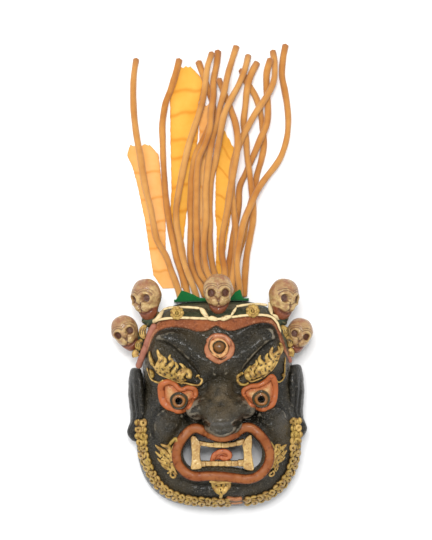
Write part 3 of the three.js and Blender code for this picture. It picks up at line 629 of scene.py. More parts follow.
def carving(x, y):
    """Rise of the carved features over the plain of the face, in mm."""
    side = np.abs(x)
    rise = ridge(side, y, BROW_ROLL, 30, 15) + ridge(side, y, BROW_PAD, 20, 9)
    for crease in BROW_CREASES:
        rise += fold(side, y, crease, 7, 2.2, 6.5)
    rise -= 5 * hill(away_from(x, y, [(0, -112), (0, -136)], reach=12) / 10)
    for slant in (-1, 1):
        for low in (-122, -128, -134):
            rise -= 1.3 * np.exp(-(away_from(x, y, [(slant * 2, low), (slant * 9, low + 7)],
                        reach=6) / 1.1) ** 2)
    rise += fold(x, y, FROWN, 3.5, 1.6, 1.2) + dome(x, y, 0, -130, 26, 20, 6)
    rise += dome(side, y, 61, -167, 44, 36, -14) + dome(side, y, 61, -171, 33, 28, 17)
    nose = nose_rise(x, y)
    rise = rise * (1 - ease(0, 12, nose)) + nose
    rise += dome(side, y, 25, -206, 10, 8, -15) + fold(side, y, NOSE_ARC, 4.0, 1.4, 3.2)
    rise += fold(side, y, NOSE_EDGE, 6.0, 4.0, 1.1)
    rise += dome(side, y, 79, -209, 34, 32, 19)
    rise += fold(side, y, CHEEK_SIDES, 5, 4.5, 2.0) + fold(side, y, SMILE, 5, 7.0, 5.0)
    rise += fold(side, y, [(40, -193), (52, -198), (66, -200), (80, -196), (90, -189)], 3.0, 1.6, 5.0)
    for edge in TEMPLE_EDGES:
        rise += 2.0 * np.exp(-(away_from(x, y, smooth_line(edge, 5), reach=8) / 2.2) ** 2)
    rise += ridge(x, y, LIPS, 16, 9, True) + dome(x, y, 0, -314, 66, 20, 6)
    rise += fold(x, y, CHIN_CREASE, 4, 4.5, 5.5)
    rise += 4 * hill(np.hypot(x - THIRD_EYE[0], y - THIRD_EYE[1]) / 28)
    return rise


def tool_marks(x, y):
    """Shallow knife facets and a slow waver that the hand left in the wood."""
    waver = 0.6 * np.sin(x / 9.1 + 1.3 * np.sin(y / 13)) * np.sin(y / 7.7 + np.sin(x / 11))
    facet = 0.30 * np.sin(x / 3.1 + 2 * np.sin(y / 8.3)) * np.cos(y / 2.9 + 2 * np.sin(x / 9.7))
    return waver + facet


def surface(x, y, q=None):
    """Height of the carving over the table, in mm. q is the wall's share where it is known."""
    away = np.maximum(np.hypot(x - RIM_X, y - RIM_Y), 1e-6)
    dx, dy = (x - RIM_X) / away, (y - RIM_Y) / away
    if q is None:
        q = np.sqrt(np.maximum(0, 1 - np.minimum(1, away / rim_radius(dx, dy)) ** wall_power(dx, dy)))
    rise = carving(x, y)
    red, green = side_line(RED_LINE, x, y), side_line(CROWN_LINE, x, y)
    rise = rise * (1 - ease(-9, 0, red))
    rise += 3.5 * ease(-1.2, 1.2, red) + 4 * ease(-1, 1, green)
    rise += tool_marks(x, y) * (1 - 0.6 * ease(0, 2, red))
    return q * (DEPTH + rise)


def inner_height(x, y):
    away = np.maximum(np.hypot(x - RIM_X, y - RIM_Y), 1e-6)
    dx, dy = (x - RIM_X) / away, (y - RIM_Y) / away
    share = np.minimum(1, away / rim_radius(dx, dy, WALL))
    return (DEPTH - FACE_WALL) * np.sqrt(np.maximum(0, 1 - share ** (0.8 * wall_power(dx, dy))))


FRONT_Q = 0.78
FRONT_SHARE = 0.70


def square_to_rim(u, v):
    """Turns a square's points into a direction from the face's middle and a row number."""
    a, b = 2 * u - 1, 2 * v - 1
    row = np.maximum(np.abs(a), np.abs(b))
    angle = np.arctan2(b * 160, a * 122)
    return np.cos(angle), np.sin(angle), row


def carved_front(u, v):
    dx, dy, row = square_to_rim(u, v)
    power = wall_power(dx, dy)
    edge_share = (1 - FRONT_Q**2) ** (1 / power)
    front = row <= FRONT_SHARE
    share = row / FRONT_SHARE * edge_share
    q = np.where(front, np.sqrt(np.maximum(0, 1 - share**power)),
                 FRONT_Q * np.clip((1 - row) / (1 - FRONT_SHARE), 0, 1))
    share = np.where(front, share, (1 - q**2) ** (1 / power))
    radius = share * rim_radius(dx, dy)
    x, y = RIM_X + radius * dx, RIM_Y + radius * dy
    return x, y, surface(x, y, q), q


def to_part(x, y, z):
    return (np.asarray(x) + FACE_X) * MM, np.asarray(y) * MM, np.asarray(z) * MM


front_grid = {}


def place_front(u, v):
    x, y, z, q = carved_front(u, v)
    front_grid.update(x=x, y=y, z=z, q=q)
    return to_part(x, y, z)


def front_masks(u, v):
    x, y, z, q = (front_grid[key] for key in "xyzq")
    around = sum(surface(x + dx, y + dy) for dx, dy in ((4, 0), (-4, 0), (0, 4), (0, -4))) / 4
    crest = np.where(q > 0.6, np.clip((z - around) / 3.2, -1, 1), 0)
    red, green = side_line(RED_LINE, x, y), side_line(CROWN_LINE, x, y)
    # blush: the eye whites' orange toward the lids, partly their own paint, partly painted shade under the
    # lids.
    eye, blush = np.zeros(x.shape), np.zeros(x.shape)
    for outline in (LEFT_EYE, RIGHT_EYE):
        within = inside(x, y, smooth_line(outline, 2, True))
        eye = np.where(within, 1.0, eye)
        blush = np.where(within, ease(14, 4, away_from(x, y, smooth_line(outline, 2, True), True)), blush)
    # The patch over the nose bridge marks painted light, where the bridge catches the lamp.
    return {"crest": crest, "red_paint": ease(-0.8, 0.8, red) * (1 - ease(-0.8, 0.8, green)),
            "green_paint": ease(-0.8, 0.8, green), "ivory_paint": eye, "blush": blush,
            "polish": np.exp(-((x / 17) ** 2 + ((y + 205) / 14) ** 2)),
            "lit_nose_bridge": np.exp(-((x / 26) ** 2 + ((y + 170) / 22) ** 2) ** 1.5)}


def snap_to(bm, edges, outline):
    """Moves the vertices of an edge loop onto a smooth outline."""
    fine = smooth_line(outline, 0.4, True)[:-1]
    for vert in {v for e in edges for v in e.verts}:
        x, y = vert.co.x / MM - FACE_X, vert.co.y / MM
        near = fine[np.argmin(np.hypot(fine[:, 0] - x, fine[:, 1] - y))]
        vert.co.x, vert.co.y = (near[0] + FACE_X) * MM, near[1] * MM


def cut_through(piece, outline, depth_at):
    """Opens the carving inside an outline and gives the opening its wooden walls."""
    bm = bmesh.new()
    bm.from_mesh(piece.data)
    centres = np.array([f.calc_center_median() for f in bm.faces]) / MM
    gone = inside(centres[:, 0] - FACE_X, centres[:, 1], smooth_line(outline, 0.8, True)[:-1])
    gone &= centres[:, 2] > 30
    bm.faces.ensure_lookup_table()
    before = {e for e in bm.edges if e.is_boundary}
    bmesh.ops.delete(bm, geom=[f for f, out in zip(list(bm.faces), gone) if out], context="FACES")
    edges = [e for e in bm.edges if e.is_boundary and e not in before]
    snap_to(bm, edges, outline)
    for _ in range(2):
        made = bmesh.ops.extrude_edge_only(bm, edges=edges)["geom"]
        fresh = [g for g in made if isinstance(g, bmesh.types.BMVert)]
        for vert in fresh:
            bottom = depth_at(vert.co.x / MM - FACE_X, vert.co.y / MM) * MM
            vert.co.z = (vert.co.z + bottom) / 2 if _ == 0 else bottom
        edges = [g for g in made if isinstance(g, bmesh.types.BMEdge)]
    bm.normal_update()
    bm.to_mesh(piece.data)
    bm.free()


mask_front = shaped_grid("mask_carving", 300, 300, place_front, front_masks)
bm = bmesh.new()
bm.from_mesh(mask_front.data)
rim = [e for e in bm.edges if e.is_boundary]
for inset in (1.2, WALL):
    made = bmesh.ops.extrude_edge_only(bm, edges=rim)["geom"]
    for vert in (g for g in made if isinstance(g, bmesh.types.BMVert)):
        x, y = vert.co.x / MM - FACE_X - RIM_X, vert.co.y / MM - RIM_Y
        away = math.hypot(x, y)
        radius = float(rim_radius(x / away, y / away, inset))
        vert.co.x, vert.co.y = (x / away * radius + RIM_X + FACE_X) * MM, (y / away * radius + RIM_Y) * MM
        vert.co.z = 0
    rim = [g for g in made if isinstance(g, bmesh.types.BMEdge)]
for vert in bm.verts:
    if vert.is_boundary:
        vert.co.z = 0.2 * MM
bm.to_mesh(mask_front.data)
bm.free()


def inner_depth(x, y):
    return float(inner_height(np.array([x]), np.array([y]))[0]) - 0.4


cut_through(mask_front, MOUTH, inner_depth)
for px, py, _ in PUPILS:
    ring = [(px + 8 * math.cos(a), py + 8 * math.sin(a)) for a in np.linspace(0, 2 * math.pi, 16, False)]
    cut_through(mask_front, ring, inner_depth)
bm = bmesh.new()
bm.from_mesh(mask_front.data)
if sum(f.normal.z * f.calc_area() for f in bm.faces) < 0:
    bmesh.ops.reverse_faces(bm, faces=bm.faces)
bm.to_mesh(mask_front.data)
bm.free()
for face in mask_front.data.polygons:
    face.use_smooth = True


def place_inside(u, v):
    dx, dy, row = square_to_rim(u, v)
    q = np.where(row < 0.6, 1.0, np.sqrt(np.clip(1 - ((row - 0.6) / 0.4) ** 2, 0, 1)))
    power = 0.8 * wall_power(dx, dy)
    share = np.where(row < 0.6, row / 0.6 * 0.55, 0)
    share = np.where(row < 0.6, share, np.maximum(0.55, (1 - np.minimum(q, 0.9999) ** 2) ** (1 / power)))
    radius = share * rim_radius(dx, dy, WALL - 0.3)
    x, y = RIM_X + radius * dx, RIM_Y + radius * dy
    z = (DEPTH - FACE_WALL) * np.sqrt(np.maximum(0, 1 - share**power))
    gouges = 0.5 * np.sin(x / 4.2 + 1.5 * np.sin(y / 17)) * np.sin(y / 6.5)
    return to_part(x, y, np.where(row > 0.995, 0.0, z + gouges * np.clip(z / 20, 0, 1)))


mask_inside = shaped_grid("mask_hollow", 140, 140, place_inside)
for outline in [MOUTH] + [[(px + 7.6 * math.cos(a), py + 7.6 * math.sin(a))
                           for a in np.linspace(0, 2 * math.pi, 16, False)] for px, py, _ in PUPILS]:
    bm = bmesh.new()
    bm.from_mesh(mask_inside.data)
    centres = np.array([f.calc_center_median() for f in bm.faces]) / MM
    gone = inside(centres[:, 0] - FACE_X, centres[:, 1], smooth_line(outline, 0.8, True)[:-1])
    before = {e for e in bm.edges if e.is_boundary}
    bmesh.ops.delete(bm, geom=[f for f, out in zip(list(bm.faces), gone) if out], context="FACES")
    snap_to(bm, [e for e in bm.edges if e.is_boundary and e not in before], outline)
    bm.to_mesh(mask_inside.data)
    bm.free()
bm = bmesh.new()
bm.from_mesh(mask_inside.data)
if sum(f.normal.z * f.calc_area() for f in bm.faces) > 0:
    bmesh.ops.reverse_faces(bm, faces=bm.faces)
bm.to_mesh(mask_inside.data)
bm.free()


def old_paint_group():
    """Paint laid by brush on carved wood: worn through to the ground on the crests and dirty in the hollows
    and undersides; the crest wear is partly painted highlight and the hollow darkening partly painted shade.
    """
    group, given, wanted = new_group(
        "old_paint",
        [("Paint", "color", None), ("Ground", "color", None), ("Dirt_And_Shade", "color", None),
         ("Crest", "value", 0.0),
         ("Wear", "value", 0.5), ("Grime_And_Shade", "value", 0.5), ("Speckle", "value", 400.0)],
        [("Color", "color"), ("Worn", "value"), ("Height", "value")])
    clouds = noise(group, 28, 5)
    chips = noise(group, 150, 4, rough=0.7)
    specks = node(group, "ShaderNodeTexNoise", {
        "Vector": node(group, "ShaderNodeTexCoord").outputs["Object"], "Scale": given["Speckle"],
                    "Detail": 3.0})
    # Worn through to the ground on the crests; where the ground is pale this is partly painted highlight on
    # the ridges.
    rubbed = sums(group, "ADD", sums(group, "MULTIPLY", given["Crest"], 0.5),
                sums(group, "MULTIPLY", chips, 0.9))
    rubbed = sums(group, "ADD", rubbed, sums(group, "MULTIPLY", given["Wear"], 0.35))
    worn = spread(group, rubbed, 0.86, 1.02)
    # Darker where the surface dips or turns under: dirt, and painted shade in the hollows and undersides.
    low = spread(group, given["Crest"], 0.0, -0.6)
    low = sums(group, "MULTIPLY", sums(group, "MULTIPLY", low, given["Grime_And_Shade"]),
               spread(group, clouds, 0.3, 0.6, 0.5, 1))
    tone = mixed(group, spread(group, clouds, 0.35, 0.65), given["Paint"], given["Dirt_And_Shade"])
    tone = mixed(group, 0.55, given["Paint"], tone)
    tone = mixed(group, worn, tone, given["Ground"])
    tone = mixed(group, low, tone, given["Dirt_And_Shade"])
    pale = mixed(group, sums(group, "MULTIPLY", spread(group, specks.outputs["Fac"], 0.58, 0.7), 0.4), tone,
                 given["Ground"])
    pale = mixed(group, sums(group, "MULTIPLY", spread(group, chips, 0.46, 0.32), 0.6), pale, given["Dirt_And_Shade"])
    group.links.new(pale, wanted["Color"])
    group.links.new(worn, wanted["Worn"])
    grain = noise(group, 60, 4, stretch=(1, 0.25, 1))
    height = sums(group, "ADD", sums(group, "MULTIPLY", grain, 0.5), sums(group, "MULTIPLY", chips, 0.7))
    height = sums(group, "SUBTRACT", height, sums(group, "MULTIPLY", worn, 0.2))
    group.links.new(sums(group, "ADD", height, sums(group, "MULTIPLY", specks.outputs["Fac"], 0.4)),
                    wanted["Height"])
    return group


OLD_PAINT = old_paint_group()


def mask_paint():
    material, tree, shader = new_material("worn_black_paint", 0.42, 0.3)
    shader.inputs["Coat Roughness"].default_value = 0.10
    crest = attribute(tree, "crest")
    # The black's pale ground on worn crests and in its specks is partly painted highlight on the ridges, and
    # its darkening in the hollows is partly painted shade.
    black = use_group(tree, OLD_PAINT, {
        "Paint": (0.0150, 0.0130, 0.0070, 1), "Ground": (0.21, 0.18, 0.13, 1),
                    "Dirt_And_Shade": (0.007, 0.006, 0.004, 1),
        "Crest": crest, "Wear": 0.54, "Grime_And_Shade": 1.0, "Speckle": 430.0})
    smoky_and_lit_tone = mixed(tree, spread(tree, noise(tree, 17, 5), 0.42, 0.68, 0.0, 0.85), black["Color"],
                (0.056, 0.041, 0.019))
    red = use_group(tree, OLD_PAINT, {
        "Paint": (0.31, 0.090, 0.026, 1), "Ground": (0.46, 0.21, 0.11, 1), "Dirt_And_Shade": (0.09, 0.024, 0.014, 1),
        "Crest": crest, "Wear": 0.66, "Grime_And_Shade": 0.9, "Speckle": 300.0})
    green = use_group(tree, OLD_PAINT, {
        "Paint": (0.034, 0.040, 0.015, 1), "Ground": (0.10, 0.09, 0.05, 1), "Dirt_And_Shade": (0.009, 0.011, 0.007, 1),
        "Crest": crest, "Wear": 0.5, "Grime_And_Shade": 0.7, "Speckle": 300.0})
    ivory = use_group(tree, OLD_PAINT, {
        "Paint": (0.66, 0.44, 0.19, 1), "Ground": (0.78, 0.58, 0.33, 1), "Dirt_And_Shade": (0.45, 0.16, 0.05, 1),
        "Crest": crest, "Wear": 0.3, "Grime_And_Shade": 0.9, "Speckle": 300.0})
    # A lighter warm patch over the nose bridge: painted light where the bridge catches the lamp.
    lit_nose_bridge = sums(tree, "MULTIPLY", attribute(tree, "lit_nose_bridge"),
                spread(tree, noise(tree, 70, 5), 0.34, 0.62))
    smoky_and_lit_tone = mixed(tree, lit_nose_bridge, smoky_and_lit_tone, (0.100, 0.071, 0.036))
    tone = mixed(tree, attribute(tree, "red_paint"), smoky_and_lit_tone, red["Color"])
    tone = mixed(tree, attribute(tree, "green_paint"), tone, green["Color"])
    # The eye whites turn orange toward the lids: partly their own paint, partly painted shade under the
    # lids.
    rosy = mixed(tree, sums(tree, "MULTIPLY", attribute(tree, "blush"), 1.0), ivory["Color"],
                (0.44, 0.125, 0.04))
    tone = mixed(tree, attribute(tree, "ivory_paint"), tone, rosy)
    tree.links.new(tone, shader.inputs["Base Color"])
    gloss = spread(tree, noise(tree, 170, 4), 0.36, 0.62, 0.12, 0.54)
    gloss = sums(tree, "ADD", gloss, sums(tree, "MULTIPLY", black["Worn"], 0.15))
    gloss = sums(tree, "SUBTRACT", gloss, sums(tree, "MULTIPLY", attribute(tree, "polish"), 0.16))
    dull = sums(tree, "MAXIMUM", attribute(tree, "green_paint"), attribute(tree, "red_paint"))
    dull = sums(tree, "MULTIPLY", dull, 0.3)
    gloss = sums(tree, "ADD", gloss, dull)
    coat = sums(tree, "ADD", sums(tree, "MULTIPLY", attribute(tree, "polish"), 0.9), 0.09)
    coat = sums(tree, "SUBTRACT", coat, sums(tree, "MULTIPLY", dull, 0.3))
    tree.links.new(gloss, shader.inputs["Roughness"])
    tree.links.new(coat, shader.inputs["Coat Weight"])
    calm = sums(tree, "SUBTRACT", 1.0, sums(tree, "MULTIPLY", attribute(tree, "polish"), 0.85))
    height = sums(tree, "MULTIPLY", sums(tree, "SUBTRACT", black["Height"], 0.7), calm)
    raise_surface(tree, shader, height, 5.0 * MM, 1.0)
    return material


def bare_wood():
    material, tree, shader = new_material("hollowed_wood", 0.7, 0.3)
    grain = noise(tree, 120, 5, stretch=(1, 0.12, 1))
    tone = mixed(tree, spread(tree, grain, 0.3, 0.7), (0.23, 0.13, 0.065), (0.10, 0.05, 0.025))
    tone = mixed(tree, spread(tree, noise(tree, 14, 4), 0.45, 0.75), tone, (0.05, 0.028, 0.017))
    tree.links.new(tone, shader.inputs["Base Color"])
    raise_surface(tree, shader, grain, 0.6 * MM, 0.8)
    return material


mask_front.data.materials.append(mask_paint())
mask_inside.data.materials.append(bare_wood())
for piece in (mask_front, mask_inside):
    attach(piece, "root")
    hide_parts("mask")

# ---------------------------------------------------------------- relief carved in strokes
# Lips, lids, leaves, flames and curls stand proud of the face. Each is carved as a rounded
# stroke that follows the surface under it, narrow where the gouge ran out.
TAPERS = {
    "even": [(0, 0.0), (0.02, 0.75), (0.06, 1), (0.94, 1), (0.98, 0.75), (1, 0)],
    "flame": [(0, 0.0), (0.03, 0.7), (0.15, 1), (0.5, 0.95), (0.8, 0.6), (0.95, 0.3), (1, 0)],
    "leaf": [(0, 0.0), (0.05, 0.45), (0.4, 1), (0.75, 0.85), (0.95, 0.4), (1, 0)],
    "curl": [(0, 0.0), (0.02, 0.6), (0.1, 0.85), (0.6, 1), (0.93, 1.1), (0.98, 0.8), (1, 0)],
}


def lie_of(x, y, reach=1.0):
    """Height of the face and the way it looks out, taken over a small patch."""
    z = surface(x, y)
    sx = (surface(x + reach, y) - surface(x - reach, y)) / (2 * reach)
    sy = (surface(x, y + reach) - surface(x, y - reach)) / (2 * reach)
    out = np.stack([-sx, -sy, np.ones(x.shape)], 1)
    return z, out / np.linalg.norm(out, axis=1)[:, None]


def scroll(cx, cy, outer, inner, start, turns, way=1):
    """A spiral from its outer end inwards, start in degrees."""
    share = np.linspace(0, 1, max(6, int(turns * 12)))
    angle = math.radians(start) + way * share * turns * 2 * math.pi
    radius = outer + (inner - outer) * share
    return list(zip(cx + radius * np.cos(angle), cy + radius * np.sin(angle)))


def relief(name, strokes, sides=10, step=1.0):
    """One piece from many strokes: (path, half width, taper, height over the face, flatness)."""
    bm = bmesh.new()
    bm.loops.layers.uv.new("UVMap")
    crest = bm.verts.layers.float.new("crest")
    tone = bm.verts.layers.float.new("tone")
    lines, spans = [], []
    for path, *_ in strokes:
        line = smooth_line(np.array(path, float), step)
        spans.append((sum(len(x) for x in lines), len(line)))
        lines.append(line)
    joined = np.vstack([line[:, :2] for line in lines])
    heights, outs = lie_of(joined[:, 0], joined[:, 1])
    for number, ((path, width, taper, lift, flat), line,
                (first, count)) in enumerate(zip(strokes, lines, spans)):
        z, out = heights[first:first + count].copy(), outs[first:first + count].copy()
        if line.shape[1] > 2:
            z, out = line[:, 2], np.tile([0.0, 0.0, 1.0], (count, 1))
        kernel = np.array([0.25, 0.5, 0.25])
        z = np.convolve(np.pad(z, 1, mode="edge"), kernel, "valid")
        spine = np.stack([line[:, 0], line[:, 1], z], 1) + out * lift
        ahead = np.gradient(spine, axis=0)
        ahead /= np.linalg.norm(ahead, axis=1)[:, None] + 1e-9
        side = np.cross(ahead, out)
        side /= np.linalg.norm(side, axis=1)[:, None] + 1e-9
        top = np.cross(side, ahead)
        shape = np.array(TAPERS[taper])
        radius = width * np.interp(np.linspace(0, 1, count), shape[:, 0], shape[:, 1])
        radius *= 1 + 0.05 * np.sin(np.arange(count) * step * 0.45 + number * 1.7)
        made = bmesh.ops.create_grid(bm, x_segments=sides, y_segments=count - 1, size=0.5, calc_uvs=True)
        made = made["verts"]
        level = (math.sin(number * 12.9898) * 43758.5453) % 1
        for vert in made:
            at = min(count - 1, max(0, int(round((vert.co.y + 0.5) * (count - 1)))))
            angle = 2 * math.pi * (vert.co.x + 0.5)
            across, up = math.cos(angle), math.sin(angle)
            across = math.copysign(abs(across) ** 0.75, across)
            up = math.copysign(abs(up) ** 0.8, up) * flat
            spot = spine[at] + radius[at] * (across * side[at] + up * top[at])
            vert.co = ((spot[0] + FACE_X) * MM, spot[1] * MM, spot[2] * MM)
            vert[crest] = up / flat
            vert[tone] = level
    bmesh.ops.remove_doubles(bm, verts=bm.verts, dist=0.004 * MM)
    bmesh.ops.recalc_face_normals(bm, faces=bm.faces)
    mesh = bpy.data.meshes.new(name)
    bm.to_mesh(mesh)
    bm.free()
    for face in mesh.polygons:
        face.use_smooth = True
    piece = bpy.data.objects.new(name, mesh)
    bpy.context.collection.objects.link(piece)
    return piece


def closed_band(name, path, half_width, height, lift, columns=20, step=1.0, widths=None):
    """A rounded band that runs round a closed line, such as a lip or a lid."""
    line = smooth_line(path, step, True)[:-1]
    z, _ = lie_of(line[:, 0], line[:, 1])
    for _ in range(3):
        z = (np.roll(z, 1) + 2 * z + np.roll(z, -1)) / 4
    ahead = np.roll(line, -1, axis=0) - np.roll(line, 1, axis=0)
    ahead /= np.linalg.norm(ahead, axis=1)[:, None]
    side = np.stack([ahead[:, 1], -ahead[:, 0]], 1)
    count = len(line)
    share = np.ones(count) if widths is None else np.interp(
        np.arange(count) / count, np.linspace(0, 1, len(widths) + 1), list(widths) + [widths[0]])

    def place(u, v):
        at = np.mod((v * count).round().astype(int), count)
        angle = 2 * np.pi * u
        across, up = np.cos(angle), np.sin(angle)
        across = np.sign(across) * np.abs(across) ** 0.8
        up = np.where(up > 0, np.abs(up) ** 0.85, -np.abs(up) * 1.3)
        waver = 1 + 0.05 * np.sin(at / 7.3) + 0.03 * np.sin(at / 2.9 + u * 9)
        x = line[at, 0] + half_width * share[at] * across * side[at, 0]
        y = line[at, 1] + half_width * share[at] * across * side[at, 1]
        return to_part(x, y, z[at] + lift + height * up * waver * (0.6 + 0.4 * share[at]))

    def masks(u, v):
        return {"crest": np.sin(2 * np.pi * u), "inner": -np.cos(2 * np.pi * u)}

    return shaped_grid(name, columns, count, place, masks)


def painted(name, paint, ground, dirt_and_shade, wear=0.4, grime_and_shade=0.8, roughness=0.5, coat=0.0, depth=0.8,
            speckle=400.0, shine=0.2):
    material, tree, shader = new_material(name, roughness, shine)
    shader.inputs["Coat Weight"].default_value = coat
    made = use_group(tree, OLD_PAINT, {
        "Paint": (*paint, 1), "Ground": (*ground, 1), "Dirt_And_Shade": (*dirt_and_shade, 1), "Crest": attribute(tree, "crest"),
        "Wear": wear, "Grime_And_Shade": grime_and_shade, "Speckle": speckle})
    tree.links.new(made["Color"], shader.inputs["Base Color"])
    raise_surface(tree, shader, made["Height"], depth * MM, 0.9)
    return material, tree, shader, made


def belongs(piece, material, cad_node="mask"):
    piece.data.materials.append(material)
    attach(piece, "root")
    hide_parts(cad_node)


# ---------------------------------------------------------------- lips, teeth and tongue
# The snarling lips are one terracotta-red band. Behind them stand two tall teeth that join the
# gums, two rows of small square teeth, and a tongue curled up over the lower row.
lips = closed_band("lips", LIPS, 7.2, 6.6, -2.0, columns=26)
lips_paint, tree, shader, made = painted("terracotta_lip_paint", (0.150, 0.031, 0.003), (0.28, 0.092, 0.026),
                                         (0.075, 0.014, 0.003), wear=0.46, grime_and_shade=1.0, roughness=0.46,
                                         coat=0.03)
rosy = mixed(tree, spread(tree, noise(tree, 35, 3), 0.4, 0.7, 0.0, 0.6), made["Color"],
            (0.155, 0.027, 0.005))
tree.links.new(rosy, shader.inputs["Base Color"])
belongs(lips, lips_paint)


def slab(name, outline, bottom, top, rounding=2.2, lean=0.0):
    """A block cut to an outline, with its front edges rounded over."""
    bm = bmesh.new()
    fine = smooth_line(outline, 1.1, True)[:-1]
    verts = [bm.verts.new((*[float(c) for c in to_part(x, y, bottom)],)) for x, y in fine]
    face = bm.faces.new(verts)
    made = bmesh.ops.extrude_face_region(bm, geom=[face])["geom"]
    front = [g for g in made if isinstance(g, bmesh.types.BMVert)]
    bmesh.ops.translate(bm, verts=front, vec=(0, 0, (top - bottom) * MM))
    bmesh.ops.recalc_face_normals(bm, faces=bm.faces)
    rounding_verts = set(front)
    edges = [e for e in bm.edges if set(e.verts) <= rounding_verts]
    bmesh.ops.bevel(bm, geom=edges, offset=rounding * MM, segments=5, profile=0.5, affect="EDGES",
                    material=-1, clamp_overlap=True)
    caps = [f for f in bm.faces if len(f.verts) > 4]
    bmesh.ops.triangulate(bm, faces=caps)
    bmesh.ops.recalc_face_normals(bm, faces=bm.faces)
    mesh = bpy.data.meshes.new(name)
    bm.to_mesh(mesh)
    bm.free()
    # The top rounding counts as crest and the sides as hollow, so the sides come out darker: painted shade
    # down the sides of the teeth.
    layer = mesh.attributes.new("crest", "FLOAT", "POINT")
    layer.data.foreach_set("value",
                [0.35 if v.co.z > (top - rounding) * MM else -0.5 for v in mesh.vertices])
    for face in mesh.polygons:
        face.use_smooth = abs(face.normal.z) < 0.999
    piece = bpy.data.objects.new(name, mesh)
    bpy.context.collection.objects.link(piece)
    return piece


LEFT_FANG = [(-45, -225), (-39, -226), (-34, -232), (-31, -238), (-32, -247), (-32, -258), (-30.5, -266),
             (-30.5, -273), (-38, -275), (-46, -274), (-45, -263), (-44.5, -250), (-45, -238)]
RIGHT_FANG = [(45, -226), (39, -228), (34, -234), (31.5, -240), (33, -250), (33, -261), (31.5, -269),
            (33, -275),
              (40, -278), (47.5, -277), (46.5, -264), (45, -250), (46, -238)]
old_ivory, tree, shader, made = painted("gilded_tooth_paint", (0.60, 0.41, 0.15), (0.80, 0.64, 0.37),
                                        (0.22, 0.08, 0.02), wear=0.5, grime_and_shade=1.0, roughness=0.45, depth=1.2,
                                        speckle=300.0)
pitted = mixed(tree, spread(tree, noise(tree, 210, 4, rough=0.7), 0.53, 0.66, 0.0, 0.8), made["Color"],
               (0.24, 0.105, 0.032))
tree.links.new(pitted, shader.inputs["Base Color"])
for name, outline in (("fang_left", LEFT_FANG), ("fang_right", RIGHT_FANG)):
    belongs(slab(name, outline, 84, 104, 3.2), old_ivory)


def tooth_row(name, centre_y, sag, tall, back, front, reach, count, seed):
    chance = random.Random(seed)
    for number in range(count):
        low, high = -reach + 2 * reach * number / count, -reach + 2 * reach * (number + 1) / count
        middle = (low + high) / 2
        y = centre_y - sag * (1 - (middle / reach) ** 2) + chance.uniform(-0.5, 0.5)
        half = (high - low) / 2 - 0.25
        up = tall / 2 + chance.uniform(-0.5, 0.7)
        slope = 2 * sag * middle / reach**2 * half
        outline = [(middle - half, y - up - slope), (middle, y - up - 0.5), (middle + half, y - up + slope),
                   (middle + half + 0.1, y + slope), (middle + half, y + up + slope), (middle, y + up),
                   (middle - half, y + up - slope), (middle - half - 0.1, y - slope)]
        belongs(slab(f"{name}_{number + 1}", outline, back, front + chance.uniform(-0.6, 0.8), 2.0),
                old_ivory)


tooth_row("upper_tooth", -235.5, 4.4, 6.4, 85, 100, 34, 6, 4)
tooth_row("lower_tooth", -267.5, 0.6, 7.6, 84, 98, 34, 7, 9)

tongue_roll = [(-13, -272, 84), (-14, -264, 88), (-11, -256, 90.5), (-4, -251, 92), (5, -250, 92),
            (11, -253, 91.5),
               (12, -258, 91), (7, -261, 90.5), (0, -259, 91.5), (-4, -257, 92)]
tongue_body = [(-12, -262, 86), (-6, -258, 88), (3, -257, 88.5), (9, -256, 88)]
tongue = relief("tongue", [(tongue_roll, 4.0, "even", 0, 0.9), (tongue_body, 6.0, "leaf", 0, 0.6)], sides=18)
tongue_paint, *_ = painted("orange_red_tongue_paint", (0.29, 0.052, 0.014), (0.42, 0.13, 0.05),
            (0.12, 0.015, 0.006),
                           wear=0.3, grime_and_shade=0.9, roughness=0.38, coat=0.12)
belongs(tongue, tongue_paint)

# ---------------------------------------------------------------- the three eyes
# Lids are a terracotta-red band round an ivory ball, each ball has a raised amber iris drilled
# right through for the wearer to see by. The third eye is carved in the same way, not drilled.
lid_paint, tree, shader, made = painted("red_lid_paint", (0.21, 0.034, 0.006), (0.38, 0.11, 0.035),
            (0.09, 0.013, 0.006),
                                        wear=0.45, grime_and_shade=0.9, roughness=0.42, coat=0.08)
blush = mixed(tree, spread(tree, attribute(tree, "inner"), 0.1, 0.9), made["Color"], (0.40, 0.10, 0.024))
tree.links.new(blush, shader.inputs["Base Color"])
lid_left = closed_band("lid_left", LEFT_EYE, 4.9, 4.6, 0.2,
            widths=[1.1, .9, .8, .75, .9, .8, .7, .8, 1, 1.1, 1.2, 1.2])
lid_right = closed_band("lid_right", RIGHT_EYE, 4.9, 4.6, 0.2,
            widths=[.8, .8, .8, .9, 1, .9, .9, 1, .9, .8, .7, .7])
for lid in (lid_left, lid_right):
    belongs(lid, lid_paint)


